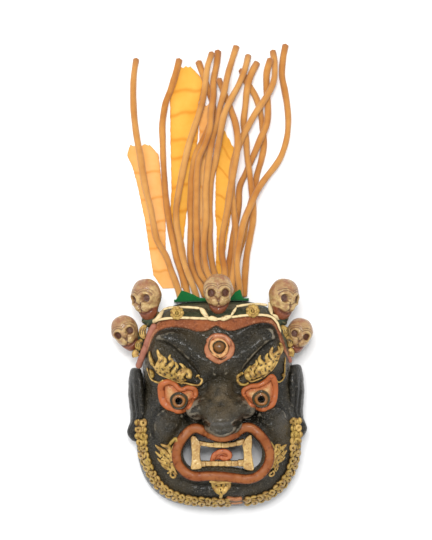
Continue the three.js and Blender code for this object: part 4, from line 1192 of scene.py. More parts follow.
def iris_ring(name, cx, cy, hole, outer, rise, pierced=True):
    """A turned ring like a shallow button: dark groove, amber roll, and the peep-hole's wall."""
    base = float(surface(np.array([cx]), np.array([cy]))[0])
    if pierced:
        profile = [(hole, 84 - base, 0.0), (hole, rise - 1.5, 0.1), (hole + 0.6, rise - 0.2, 0.3),
                   (hole + 2.0, rise + 0.5, 0.34), (hole + 3.8, rise, 0.36), (hole + 5.0, rise - 1.0, 0.16),
                   (hole + 5.8, rise - 1.5, 0.0), (outer - 1.2, rise - 0.5, 0.02), (outer, rise - 1.6, 0.08),
                   (outer + 0.4, -4, 0.0)]
    else:
        profile = [(0.01, rise + 3.4, 0.24), (3, rise + 3.0, 0.26), (6, rise + 1.6, 0.26),
                   (8, rise - 0.4, 0.2),
                   (9.2, rise - 1.8, 0.0), (outer - 0.8, rise - 1.2, 0.0), (outer, rise - 1.8, 0.0),
                   (outer + 0.4, -4, 0.0)]
    fine = smooth_line([(r, z) for r, z, _ in profile], 0.45)
    tones = np.interp(fine[:, 0], [p[0] for p in profile], [p[2] for p in profile])

    def place(u, v):
        at = np.clip((v * (len(fine) - 1)).round().astype(int), 0, len(fine) - 1)
        angle = 2 * np.pi * u
        r = fine[at, 0] * (1 + 0.02 * np.sin(3 * angle + cx) + 0.012 * np.sin(5 * angle))
        return to_part(cx + r * np.cos(angle), cy + r * np.sin(angle) * 0.97, base + fine[at, 1])

    def masks(u, v):
        at = np.clip((v * (len(fine) - 1)).round().astype(int), 0, len(fine) - 1)
        return {"amber": tones[at], "crest": tones[at] - 0.2}

    return shaped_grid(name, 56, len(fine) - 1, place, masks)


iris_paint, tree, shader, made = painted("amber_iris_paint", (0.050, 0.038, 0.014), (0.11, 0.08, 0.03),
                                         (0.02, 0.015, 0.01), wear=0.25, grime_and_shade=0.6, roughness=0.3, coat=0.22)
amber = mixed(tree, spread(tree, noise(tree, 160, 3), 0.35, 0.7), (0.33, 0.115, 0.018), (0.20, 0.09, 0.030))
tree.links.new(mixed(tree, spread(tree, attribute(tree, "amber"), 0.12, 0.4), made["Color"], amber),
               shader.inputs["Base Color"])
for name, (px, py, outer) in zip(("iris_left", "iris_right"), PUPILS):
    belongs(iris_ring(name, px, py, 5.2, 13.4, 4.5), iris_paint)
belongs(iris_ring("iris_middle", 0, -93, 0, 10.2, 6.0, pierced=False), iris_paint)

ring_path = [(17, -88), (18.5, -96), (15, -105), (7, -110.5), (-1, -114), (-9, -110), (-15, -105),
            (-18, -97),
             (-15.5, -88), (-12, -80), (-2, -76.5), (8, -78.5)]
third_lid = closed_band("third_lid", ring_path, 4.6, 4.2, 0.2,
            widths=[1, 1.1, 1, .8, 1, .9, 1, 1.1, .8, 1.1, .9, 1])
third_paint, tree, shader, made = painted("salmon_red_paint", (0.21, 0.050, 0.016), (0.38, 0.15, 0.07),
                                          (0.11, 0.02, 0.010), wear=0.5, grime_and_shade=1.0, roughness=0.45, coat=0.1)
belongs(third_lid, third_paint)
third_white = closed_band("third_ball", [(12.0 * math.cos(a) - 0.6, -94 + 12.2 * math.sin(a)) for a in
                                         np.linspace(0, 2 * math.pi, 14, False)], 3.1, 3.4, 0.4,
                          widths=[.8, .6, .55, .7, .9, 1.1, 1.2, 1.2, 1.1, 1.2, 1.1, 1, 1.1, 1])
third_white_paint, *_ = painted("ivory_eye_paint", (0.36, 0.120, 0.040), (0.56, 0.30, 0.12),
            (0.24, 0.05, 0.02),
                                wear=0.5, grime_and_shade=0.9, roughness=0.45)
belongs(third_white, third_white_paint)
lobes = [(scroll(-15, -85, 4.0, 1.5, 60, 1.0), 1.5, "curl", 2.6, 0.9),
         (scroll(-16, -104, 4.2, 1.5, 200, 1.0), 1.5, "curl", 2.4, 0.9),
         ([(14, -84), (18, -91), (17, -100), (11, -107)], 1.1, "leaf", 3.6, 0.8),
         ([(-6, -109), (-4, -114), (0, -119)], 3.2, "flame", 1.0, 0.8)]
belongs(relief("third_eye_lobes", lobes), third_paint)

# ---------------------------------------------------------------- the ears
# Long-lobed ears stand out from the side walls and are seen edge-on, with the rim's roll and
# the hollow behind it cut as two grooves.
# As on the face, the pale ground on the worn rims is partly painted highlight, and the darker grooves are
# partly painted shade.
ear_paint, tree, shader, made = painted("ear_black_paint", (0.012, 0.0105, 0.006), (0.17, 0.145, 0.11),
                                        (0.005, 0.004, 0.003), wear=0.54, grime_and_shade=0.8, roughness=0.36,
                                        coat=0.08, depth=4.5, speckle=430.0, shine=0.28)
EARS = {"ear_left": (-1, -128.0), "ear_right": (1, 116.0)}
EAR_FLARE = 0.32
for name, (out, ear_x) in EARS.items():
    def ear_cuts(u, down):
        """The rim's roll and the shell's hollow, by the angle from the outer side, in degrees."""
        angle = 360 * u
        rim = np.exp(-((angle - 58 - 5 * down) / 8) ** 2) * hill((down - 0.05) / 1.05)
        shell = np.exp(-((angle - 28 + 9 * down) / 9) ** 2) * hill((down + 0.02) / 0.9)
        return rim, shell

    def place_ear(u, v):
        around, down = 2 * np.pi * u, np.cos(np.pi * v)
        ring = np.sin(np.pi * v) ** 0.42
        rim, shell = ear_cuts(u, down)
        deep = 1 - 0.13 * rim - 0.22 * shell
        lobe = 6 * hill((down + 0.74) / 0.36) - 2.5 * hill((down + 0.2) / 0.42)
        ripple = 0.5 * np.sin(down * 19 + 3 * np.cos(around)) + 0.25 * np.sin(down * 41 + 5 * u)
        x = np.cos(around) * ring * 11 * deep + lobe + ripple * 0.4
        z = np.sin(around) * ring * 26 * deep * (1 - 0.5 * ease(-0.2, -0.65, down))
        y = np.sign(down) * np.abs(down) ** 0.9 * 56
        turned = x * math.cos(EAR_FLARE) - z * math.sin(EAR_FLARE)
        forward = x * math.sin(EAR_FLARE) + z * math.cos(EAR_FLARE)
        return to_part(ear_x + out * turned, -181 + y, 44 + forward)

    def ear_masks(u, v):
        rim, shell = ear_cuts(u, np.cos(np.pi * v))
        return {"crest": np.clip(0.3 - 1.0 * rim - 0.9 * shell, -1, 1)}

    belongs(shaped_grid(name, 84, 84, place_ear, ear_masks), ear_paint)

# ---------------------------------------------------------------- gilded brows and flames
# Flame-shaped brows, cheek flames, the chin's leaf and the curled beard are gilded over ochre,
# with near-black strokes laid in the cuts between the tongues of flame: the black ground there, with painted
# shade.
gilding, tree, shader, made = painted("old_gilding", (0.365, 0.205, 0.040), (0.54, 0.35, 0.11),
            (0.034, 0.018, 0.006),
                                      wear=0.45, grime_and_shade=1.0, roughness=0.44, depth=1.1, speckle=520.0)
shader.inputs["Metallic"].default_value = 0.15
tint = mixed(tree, attribute(tree, "tone"), (1.0, 1.0, 1.0), (0.78, 0.80, 0.62))
toned = mixed(tree, 1.0, made["Color"], tint, blend="MULTIPLY")
rubbed = spread(tree, noise(tree, 130, 4, rough=0.7), 0.47, 0.64, 0.0, 0.85)
toned = mixed(tree, rubbed, toned, (0.20, 0.095, 0.026))
# Each stroke's flanks and underside go near black: painted shade where the strokes drop to the face.
tree.links.new(mixed(tree, spread(tree, attribute(tree, "crest"), 0.5, -0.2), toned, (0.026, 0.014, 0.006)),
               shader.inputs["Base Color"])

brow_left = [
    ([(-103, -100), (-100, -112), (-96, -121), (-90, -131), (-82, -134.5), (-73, -138), (-63, -142.5),
      (-50, -144.5),
      (-39, -147.5), (-31, -147.5), (-27, -142), (-29, -137), (-34, -135.5), (-37, -138)], 1.6, "even", 1.6,
     1.0),
    ([(-95, -124), (-84, -129), (-74, -132), (-62, -137), (-49, -141)], 6.0, "leaf", 0.8, 0.75),
    ([(-90, -130), (-91, -119), (-87, -110), (-90, -102), (-92, -94)], 5.3, "flame", 1.4, 0.9),
    ([(-97, -119), (-100, -111), (-102, -104), (-103, -97)], 4.0, "flame", 1.4, 0.9),
    ([(-83, -131), (-85, -119), (-81, -112), (-84, -105)], 4.5, "flame", 1.4, 0.9),
    ([(-76, -134), (-77, -123), (-71, -115), (-75, -108), (-73, -102)], 4.5, "flame", 1.6, 0.9),
    ([(-69, -137), (-68, -127), (-64, -121), (-67, -113)], 4.0, "flame", 1.6, 0.9),
    ([(-61, -140), (-60, -131), (-54, -125), (-57, -119), (-61, -116)], 4.3, "flame", 1.6, 0.9),
    ([(-55, -142), (-56, -134), (-51, -128), (-46, -131), (-47, -138)], 4.4, "curl", 1.6, 0.9),
    (scroll(-57, -141, 3.8, 1.4, 240, 1.1), 1.2, "curl", 2.8, 1.0),
    (scroll(-66, -131, 3.4, 1.2, 90, 1.1), 1.3, "curl", 3.0, 1.0),
    (scroll(-81, -123, 3.4, 1.2, 30, 1.1), 1.3, "curl", 3.0, 1.0),
    ([(-108, -122), (-105, -132), (-101, -140), (-91, -144), (-84, -140)], 1.5, "even", 1.2, 1.0),
    ([(-104, -125), (-100, -131), (-101, -138)], 4.3, "leaf", 1.0, 0.9),
]
brow_right = [
    ([(90, -98), (89, -106), (86, -114), (82, -121), (77, -127), (71, -132), (64, -137.5), (56, -141),
      (47, -144),
      (41, -142)], 1.5, "even", 1.6, 1.0),
    ([(42, -145), (37, -148), (31, -147.5), (26.5, -142), (27.5, -135.5), (33, -133), (36.5, -136)], 2.1,
     "even",
     2.0, 1.0),
    ([(46, -139), (56, -135), (68, -128), (79, -118), (87, -105)], 5.7, "leaf", 0.8, 0.75),
    ([(44, -142), (41, -134), (44, -128), (47, -122)], 4.6, "flame", 1.4, 0.9),
    ([(51, -140), (48, -131), (52, -124), (56, -119), (55, -113)], 4.5, "flame", 1.6, 0.9),
    ([(58, -137), (58, -128), (64, -121), (60, -114), (62, -106)], 4.7, "flame", 1.6, 0.9),
    ([(66, -132), (66, -123), (72, -117), (70, -110), (73, -103)], 4.5, "flame", 1.6, 0.9),
    ([(74, -126), (75, -117), (80, -111), (77, -103), (80, -94)], 4.9, "flame", 1.6, 0.9),
    ([(82, -117), (83, -108), (88, -101), (86, -93)], 4.3, "flame", 1.4, 0.9),
    ([(87, -106), (91, -97), (91, -88)], 4.3, "flame", 1.2, 0.9),
    (scroll(57, -132, 3.6, 1.2, 120, 1.1), 1.3, "curl", 3.0, 1.0),
    (scroll(69, -126, 3.4, 1.2, 10, 1.1), 1.3, "curl", 3.0, 1.0),
    (scroll(80, -115, 3.2, 1.2, 60, 1.1), 1.2, "curl", 3.0, 1.0),
    ([(97, -110), (96.5, -122), (96, -133), (94, -143), (87, -147), (83, -142)], 1.3, "even", 1.2, 1.0),
    ([(95, -134), (93, -140)], 3.8, "leaf", 1.4, 1.0),
]
belongs(relief("gilded_brow_left", brow_left), gilding)
belongs(relief("gilded_brow_right", brow_right), gilding)
# Near-black strokes laid over cuts, holes, veins and the beard's gaps: the black ground in them, and painted
# shade of the hollows.
lacquer_and_cut_shade, *_ = painted("dark_lacquer_and_cut_shade", (0.030, 0.020, 0.010), (0.11, 0.07, 0.03), (0.014, 0.009, 0.005),
            wear=0.3,
                      grime_and_shade=0.8, roughness=0.45)
chance = random.Random(31)


def small_cuts(places, longest, widest, bow, lift):
    """Short curved dark strokes laid between the gilded curls, turned at random; they stand for holes, the
    black ground in them with painted shade.
    """
    made = []
    for cx, cy in places:
        turn, size = chance.uniform(0, 180), chance.uniform(*longest)
        ax, ay = math.cos(math.radians(turn)), math.sin(math.radians(turn))
        made.append(([(cx - size * ax, cy - size * ay), (cx + bow * ay, cy - bow * ax),
                      (cx + size * ax, cy + size * ay)], chance.uniform(*widest), "leaf", lift, 0.5))
    return made


BROW_HOLES = [
    (-91, -119), (-96, -113), (-87, -111), (-84, -122), (-80, -116), (-77, -127), (-73, -121),
    (-75, -113), (-70, -131), (-65, -125), (-62, -134), (-58, -128), (-54, -137), (-50, -133),
    (-88, -127), (-93, -124), (-81, -129), (-66, -136), (45, -136), (48, -129), (52, -134), (55, -127),
    (59, -131), (62, -122), (66, -127), (69, -119), (73, -122), (76, -113), (79, -116), (83, -109),
    (87, -104), (62, -135), (72, -128), (84, -114),
]
belongs(relief("brow_cuts", small_cuts(BROW_HOLES, (1.3, 2.7), (1.0, 1.6), 0.8, 5.9)), lacquer_and_cut_shade)

cheek_left = [
    ([(-71, -238), (-73, -250), (-74, -262), (-70, -276), (-66, -283)], 3.9, "leaf", 0.6, 0.8),
    ([(-76, -247), (-77, -239), (-72, -232), (-66, -228), (-64, -232), (-68, -235)], 2.7, "curl", 1.4, 0.95),
    ([(-72, -252), (-78, -243), (-84, -240), (-91, -236)], 3.6, "flame", 1.2, 0.9),
    ([(-73, -258), (-82, -250), (-90, -245), (-99, -238)], 3.9, "flame", 1.2, 0.9),
    ([(-74, -264), (-84, -258), (-92, -254), (-99, -248)], 3.6, "flame", 1.2, 0.9),
    ([(-74, -270), (-82, -266), (-90, -263), (-96, -258)], 3.4, "flame", 1.2, 0.9),
    ([(-73, -275), (-80, -273), (-86, -270), (-91, -266)], 3.1, "flame", 1.2, 0.9),
    ([(-71, -268), (-76, -277), (-82, -281)], 3.1, "flame", 1.2, 0.9),
    (scroll(-72, -283, 5.2, 2.0, 100, 1.1), 1.7, "curl", 1.4, 1.0),
    (scroll(-79, -254, 4.0, 1.4, 200, 1.2), 1.3, "curl", 2.4, 1.0),
    (scroll(-77, -245, 3.2, 1.2, 300, 1.1), 1.7, "curl", 2.4, 1.0),
    (scroll(-86, -249, 3.8, 1.4, 120, 1.1), 1.8, "curl", 2.4, 1.0),
    (scroll(-87, -261, 3.6, 1.3, 160, 1.1), 1.7, "curl", 2.4, 1.0),
    (scroll(-79, -267, 3.6, 1.3, 260, 1.1), 1.7, "curl", 2.8, 1.0),
]
cheek_right = [
    ([(76, -240), (77, -252), (77, -264), (72, -278)], 4.1, "leaf", 0.6, 0.8),
    ([(77, -248), (73, -240), (68, -235), (62, -232)], 3.0, "flame", 1.2, 0.9),
    ([(77, -253), (80, -246), (84, -243), (89, -242)], 3.6, "flame", 1.2, 0.9),
    ([(77, -258), (84, -252), (90, -247), (98, -242)], 4.1, "flame", 1.2, 0.9),
    ([(77, -264), (86, -259), (92, -256), (98, -250)], 3.8, "flame", 1.2, 0.9),
    ([(77, -268), (84, -266), (90, -264), (95, -260)], 3.3, "flame", 1.2, 0.9),
    ([(75, -273), (80, -273), (86, -274)], 3.2, "flame", 1.2, 0.9),
    (scroll(73, -284, 5.0, 1.8, 80, 1.1, -1), 1.7, "curl", 1.4, 1.0),
    (scroll(82, -255, 4.0, 1.4, 340, 1.2, -1), 1.3, "curl", 2.4, 1.0),
    (scroll(90, -252, 3.4, 1.2, 240, 1.1, -1), 1.2, "curl", 2.4, 1.0),
    (scroll(79, -268, 3.4, 1.2, 100, 1.1, -1), 1.7, "curl", 2.8, 1.0),
    (scroll(84, -247, 3.6, 1.3, 60, 1.1, -1), 1.7, "curl", 2.6, 1.0),
    (scroll(88, -262, 3.6, 1.3, 20, 1.1, -1), 1.7, "curl", 2.4, 1.0),
    (scroll(80, -277, 3.2, 1.2, 300, 1.1, -1), 1.6, "curl", 2.2, 1.0),
]
chin_leaf = [
    ([(-19, -290), (-10, -293), (-2, -293.5), (6, -293), (15, -291)], 3.6, "even", 1.0, 0.9),
    ([(-15, -292), (-12, -300), (-8, -308), (-3, -314)], 4.8, "leaf", 1.0, 0.9),
    ([(12, -293), (9, -301), (4, -308), (-1, -314)], 4.8, "leaf", 1.0, 0.9),
    (scroll(-7, -298.5, 4.2, 1.5, 90, 1.2), 2.3, "curl", 1.8, 1.0),
    (scroll(4.5, -298.5, 4.2, 1.5, 90, 1.2, -1), 2.3, "curl", 1.8, 1.0),
    (scroll(-2, -307, 3.2, 1.4, 90, 1.2), 2.1, "curl", 2.0, 1.0),
    ([(-2, -308), (-2, -313), (-3, -320)], 3.0, "leaf", 1.6, 0.9),
]
belongs(relief("gilded_cheek_left", cheek_left), gilding)
belongs(relief("gilded_cheek_right", cheek_right), gilding)
belongs(relief("gilded_chin_leaf", chin_leaf), gilding)
LEAF_HOLES = [
    (-79, -245), (-84, -252), (-77, -257), (-88, -256), (-81, -264), (-75, -270), (-84, -243),
    (-92, -250), (-72, -262), (-71, -248), (-74, -278), (80, -246), (86, -250), (80, -257), (88, -257),
    (82, -264), (92, -249), (78, -271), (74, -262), (75, -248), (-9, -296), (5, -296), (-2, -302),
    (-8, -303), (4, -303), (-2, -310),
]
belongs(relief("leaf_cuts", small_cuts(LEAF_HOLES, (1.2, 2.2), (1.0, 1.5), 0.6, 4.3)), lacquer_and_cut_shade)

engraved = [(scroll(0, -94, 18.5, 14.6, 95, 0.36), 0.8, "leaf", 4.0, 0.6),
            (scroll(0, -95, 19.0, 15.0, 255, 0.34), 0.8, "leaf", 4.0, 0.6),
            (scroll(-1, -94, 15.0, 11.6, 150, 0.42), 0.6, "leaf", 3.4, 0.6),
            (scroll(0, -94, 19.5, 15.0, 5, 0.20), 0.7, "leaf", 4.0, 0.6),
            ([(-5, -108), (0, -112), (6, -108)], 0.8, "leaf", 4.0, 0.6)]
belongs(relief("third_eye_cuts", engraved), lacquer_and_cut_shade)

BEARD_LINE = [(-121, -202), (-121, -222), (-119, -244), (-112, -269), (-99, -294), (-82, -311), (-57, -322),
              (-28, -326), (2, -328), (30, -328), (56, -324), (80, -313), (98, -294), (108, -270),
              (112, -246),
              (114, -224), (113, -204)]
beard_line = smooth_line(BEARD_LINE, 0.5)
curl_count = 41
beard = []


def clear_of_ears(path, above=0.0):
    """The beard's top ends run over the ear lobes, so their curls are held up to clear them."""
    path = np.array(path, float)
    height = np.maximum(surface(path[:, 0], path[:, 1]), 68.0 * ease(-262, -236, path[:, 1]))
    return np.column_stack([path, height + above])


for number in range(curl_count):
    at = int((number + 0.5) / curl_count * (len(beard_line) - 1))
    centre = beard_line[at]
    if 8 < centre[0] < 31:
        continue
    ahead = beard_line[min(at + 8, len(beard_line) - 1)] - beard_line[max(at - 8, 0)]
    ahead = ahead / np.linalg.norm(ahead)
    outward = np.array([ahead[1], -ahead[0]]) * (1 if number % 2 else -1)
    heading = math.degrees(math.atan2(ahead[1], ahead[0]))
    chance = random.Random(number)
    size = chance.uniform(0.92, 1.12)
    way = 1 if number % 2 else -1
    high = centre[1] > -250
    aside = chance.uniform(2.0, 3.6)
    strokes = [(scroll(*(centre + outward * aside), 4.6 * size, 1.9, heading + 180 + chance.uniform(-60, 60),
                1.15, way),
                2.6 * size, "curl", 1.8, 0.95),
               ([tuple(centre - outward * 5.5 - ahead * 5.2), tuple(centre - outward * 7.0),
                 tuple(centre - outward * 5.0 + ahead * 5.2)], 3.0 * size, "leaf", 1.2, 0.95),
               ([tuple(centre - ahead * 5.6 - outward * 4.5), tuple(centre - outward * 2.2),
                 tuple(centre + ahead * 4.8 + outward * 1.0)], 2.9, "leaf", 1.0, 0.9)]
    for _ in range(2):
        turn, reach = chance.uniform(0, 6.28), chance.uniform(2.6, 4.4)
        spot = centre + outward * chance.uniform(-5, 6) + ahead * chance.uniform(-4, 4)
        step = np.array([math.cos(turn), math.sin(turn)]) * reach
        strokes.append(([tuple(spot - step), tuple(spot + 0.25 * np.array([step[1], -step[0]])),
                    tuple(spot + step)],
                        chance.uniform(1.6, 2.4), "leaf", chance.uniform(1.0, 2.6), 0.9))
    beard += [((clear_of_ears(path) if high else path), *rest) for path, *rest in strokes]
belongs(relief("gilded_beard", beard, sides=9, step=1.1), gilding)
belongs(relief("beard_ground", [(BEARD_LINE, 8.4, "even", -2.0, 0.42),
                                (clear_of_ears([(-121, -202), (-121, -222), (-120, -240)], -2.5), 7.6,
                                 "even", 0, 0.5),
                                (clear_of_ears([(113, -204), (114, -224), (113, -242)], -2.5), 7.2, "even",
                                 0, 0.5)],
               sides=22), lacquer_and_cut_shade)

lost_gold = [([(5, -321), (12, -322), (20, -323.5), (30, -322)], 5.2, "even", 0.2, 0.5),
             ([(8, -330), (18, -331), (31, -329.5)], 5.0, "even", -0.2, 0.5)]
clay, *_ = painted("bare_terracotta_ground", (0.31, 0.115, 0.035), (0.46, 0.20, 0.09), (0.13, 0.04, 0.015),
                   wear=0.4, grime_and_shade=0.8, roughness=0.7)
belongs(relief("worn_beard_ground", lost_gold, sides=14), clay)

# ---------------------------------------------------------------- the crown's edging
# A cream and gold moulding runs along both edges of the dark green band, with two lotus
# rosettes and carved leaves that clasp the skulls.
edging = [
    ([point for point in CROWN_LINE if point[1] > -82], 2.0, "even", 0.8, 1.0),
    ([(-84, -36), (-72, -33), (-50, -32.5), (-27, -34.5)], 1.9, "even", 0.8, 1.0),
    ([(26, -33), (42, -31), (60, -30.5), (74, -32.5)], 1.9, "even", 0.8, 1.0),
    ([(-28, -34), (-24, -38), (-20, -44), (-15, -50)], 4.2, "leaf", 1.6, 0.8),
    ([(-17, -50), (-9, -50), (-1, -52.5)], 4.2, "leaf", 1.6, 0.8),
    ([(20, -47), (11, -49.5), (2, -52.5)], 4.2, "leaf", 1.6, 0.8),
    ([(27, -34), (23, -40), (18, -47)], 2.2, "leaf", 1.6, 0.9),
    ([(-83, -36), (-87, -43), (-92, -50), (-103, -56)], 4.0, "leaf", 1.6, 0.9),
    ([(-89, -47), (-97, -53), (-106, -60)], 3.0, "leaf", 1.6, 0.9),
    ([(76, -28), (78, -37), (80, -47)], 3.4, "leaf", 1.6, 0.9),
    ([(80, -46), (88, -51), (97, -58)], 4.0, "leaf", 1.6, 0.9),
]


def held_on_crown(path):
    """The top edge's moulding takes its height from the band in front of it, not the drop behind."""
    path = np.array(path, float)
    height = np.max([surface(path[:, 0], path[:, 1] - step) for step in (0, 4, 8)], axis=0)
    if path[:, 1].max() > -40:
        height = np.maximum(height, height.max() - 14)
    return np.column_stack([path, height])


edging = [(held_on_crown(path), *rest) for path, *rest in edging]
cream, tree, shader, made = painted("cream_gold_edging", (0.52, 0.36, 0.145), (0.70, 0.55, 0.30),
            (0.07, 0.04, 0.015),
                                    wear=0.5, grime_and_shade=1.0, roughness=0.45, speckle=420.0)
# The moulding's flanks and underside go dark brown: painted shade where it drops to the band.
tree.links.new(mixed(tree, spread(tree, attribute(tree, "crest"), 0.1, -0.6), made["Color"],
            (0.07, 0.04, 0.015)),
               shader.inputs["Base Color"])
belongs(relief("crown_edging", edging), cream)

petals = []
for cx, cy in ((-62, -41), (51, -40)):
    seat = float(surface(np.array([cx, cx, cx]), np.array([cy, cy - 5, cy - 8])).max()) + 0.2
    for ring, count, reach, width, lift in ((0, 9, 10.8, 4.2, 1.6), (1, 7, 6.6, 3.1, 4.2)):
        for number in range(count):
            angle = 2 * math.pi * (number + 0.5 * ring) / count
            petals.append(([(cx + r * math.cos(angle), cy + r * math.sin(angle), seat + drop) for r, drop in
                            ((1.5, 0.4), (reach * 0.6, 0.3), (reach, -0.8))], width, "leaf", lift, 0.9))
    petals.append(([(cx - 1.6, cy, seat), (cx, cy, seat), (cx + 1.6, cy, seat)], 2.9, "even", 6.2, 0.9))
    petals.append(([(cx - 4, cy, seat), (cx, cy, seat), (cx + 4, cy, seat)], 9.0, "even", -0.8, 0.45))
belongs(relief("crown_rosettes", petals), gilding)

side_leaves = [
    ([(-110, -58, 82), (-115, -68, 84), (-113, -80, 82)], 6.0, "leaf", 0, 0.7),
    ([(-116, -80, 78), (-122, -88, 80), (-120, -97, 78)], 5.2, "leaf", 0, 0.7),
    ([(-123, -97, 76), (-127, -101, 77), (-126, -107, 76)], 5.0, "even", 0, 0.8),
    ([(94, -63, 82), (99, -72, 84), (98, -82, 82)], 6.0, "leaf", 0, 0.7),
    ([(101, -80, 79), (107, -88, 80), (105, -97, 78)], 5.2, "leaf", 0, 0.7),
    ([(105, -99, 77), (109, -104, 78), (107, -110, 76)], 4.6, "even", 0, 0.8),
]
belongs(relief("crown_side_leaves", side_leaves, sides=14), gilding)
veins = []
for path, width, _, _, flat in side_leaves[:2] + side_leaves[3:5]:
    (ax, ay, az), (bx, by, bz), (cx, cy, cz) = path
    for shift in (-0.42, 0.0, 0.42):
        veins.append(([(ax + shift * width, ay - 3, az + 3.2),
                    (bx + shift * width * 1.3, by, bz + width * flat - 0.2),
                       (cx + shift * width, cy + 3, cz + 3.2)], 0.75, "leaf", 0, 0.8))
belongs(relief("crown_leaf_veins", veins), lacquer_and_cut_shade)
flange_paint, *_ = painted("band_red_paint", (0.18, 0.043, 0.013), (0.33, 0.13, 0.085), (0.08, 0.02, 0.011),
                           wear=0.6, grime_and_shade=0.7, roughness=0.42)
flange = [([(-94, -57, 88), (-101, -66, 86), (-108, -84, 82), (-115, -102, 78), (-120, -114, 72),
            (-123, -122, 64)],
           5.0, "even", 0, 1.3),
          ([(93, -78, 84), (99, -94, 80), (104, -110, 74), (107, -120, 66)], 3.6, "even", 0, 1.2)]
belongs(relief("crown_flanges", flange, sides=18), flange_paint)
# ---------------------------------------------------------------- the five skulls of the crown
# Each skull is its own small carving, pegged to the crown: painted bone over wood, with deep
# round sockets, a cat-like muzzle, scratched wrinkles and a mauve jaw.
SKULL_HALF, SKULL_TALL, SKULL_DEEP, SKULL_JAW = 23.0, 30.0, 22.0, 0.72
SOCKETS = [(-10.5, 2.0), (10.5, 2.0)]
SKULLS = {
    "skull_centre": (0, -14, 98, 0, 0, 1.01),
    "skull_upper_left": (-107.5, -20, 84, 6, -34, 1.04),
    "skull_upper_right": (98, -24, 84, -8, 36, 1.04),
    "skull_lower_left": (-140.5, -71, 66, 22, -8, 0.94),
    "skull_lower_right": (120.5, -80, 66, -18, 8, 0.9),
}
bone, tree, shader, made = painted("painted_bone", (0.64, 0.445, 0.18), (0.84, 0.68, 0.42),
            (0.14, 0.055, 0.02),
                                   wear=0.56, grime_and_shade=1.0, roughness=0.36, coat=0.3, depth=3.0, shine=0.4,
                                   speckle=560.0)
bone_tone = mixed(tree, spread(tree, noise(tree, 130, 4), 0.45, 0.6, 0.0, 0.85), made["Color"],
            (0.30, 0.15, 0.06))
bone_tone = mixed(tree, sums(tree, "MULTIPLY", attribute(tree, "crown_tint"),
            spread(tree, noise(tree, 150, 4), 0.35, 0.6)),
                  bone_tone, (0.26, 0.075, 0.036))
bone_tone = mixed(tree, attribute(tree, "jaw_paint"), bone_tone, (0.21, 0.058, 0.022))
bone_tone = mixed(tree, attribute(tree, "cut"), bone_tone, (0.085, 0.028, 0.016))
tree.links.new(bone_tone, shader.inputs["Base Color"])


def arc_groove(x, y, cx, cy, radius, low, high, wide=0.55):
    """How near a point is to part of a circle, angles in degrees."""
    angle = np.degrees(np.arctan2(y - cy, x - cx)) % 360
    within = (angle > low) & (angle < high)
    return np.where(within, np.exp(-((np.hypot(x - cx, y - cy) - radius) / wide) ** 2), 0)


def skull_relief(x, y):
    """Depth of carving on the skull's front, and how deep each cut is."""
    side = np.abs(x)
    near = np.hypot(side - SOCKETS[1][0], y - SOCKETS[1][1])
    socket = ease(6.6, 4.6, near)
    rim = 1.6 * np.exp(-((near - 7.9) / 1.5) ** 2)
    cuts = arc_groove(side, y, 9.0, 2.0, 11.0, 20, 150) + 0.8 * arc_groove(side, y, 9.0, 2.5, 13.6, 40, 140)
    cuts += (arc_groove(side, y, 8.4, -9.0, 7.2, 95, 200, 0.6)
             + arc_groove(side, y, 7.0, -12.2, 6.6, 185, 352, 0.7))
    cuts += (0.8 * np.exp(-(side / 0.6) ** 2) * ((y < -9) & (y > -16))
             + 0.7 * np.exp(-((side - 3.0 - 0.12 * (y + 2)) / 0.6) ** 2) * ((y > -6) & (y < 3)))
    nose = np.exp(-((side / 3.2) ** 2 + ((y + 7.6) / 2.2) ** 2) * 1.4)
    muzzle = 3.8 * np.exp(-(((side - 7.2) / 7.2) ** 2 + ((y + 12.0) / 4.8) ** 2) ** 1.5)
    cheeks = 2.0 * np.exp(-(((side - 15.0) / 5.0) ** 2 + ((y + 5.5) / 3.6) ** 2))
    lip = 1.6 * np.exp(-((y + 20.4 - 0.035 * side**2) / 1.2) ** 2) * (side < 12)
    wrinkles = sum(np.exp(-((y - 16 - step - 3.2 * np.cos(side / 5.6)) / 0.5) ** 2)
                   for step in (-1.5, 2.6, 6.4))
    wrinkles = wrinkles * (side < 14) * 0.55
    push = -7.2 * socket + rim + muzzle + cheeks + 1.5 * np.exp(-(side / 2.4) ** 2) * hill((y + 1) / 7)
    push = push - 2.2 * nose - 0.9 * np.clip(cuts, 0, 1) - 0.5 * wrinkles - 1.4 * lip
    return push, socket, np.clip(cuts + 0.9 * nose + lip, 0, 1)


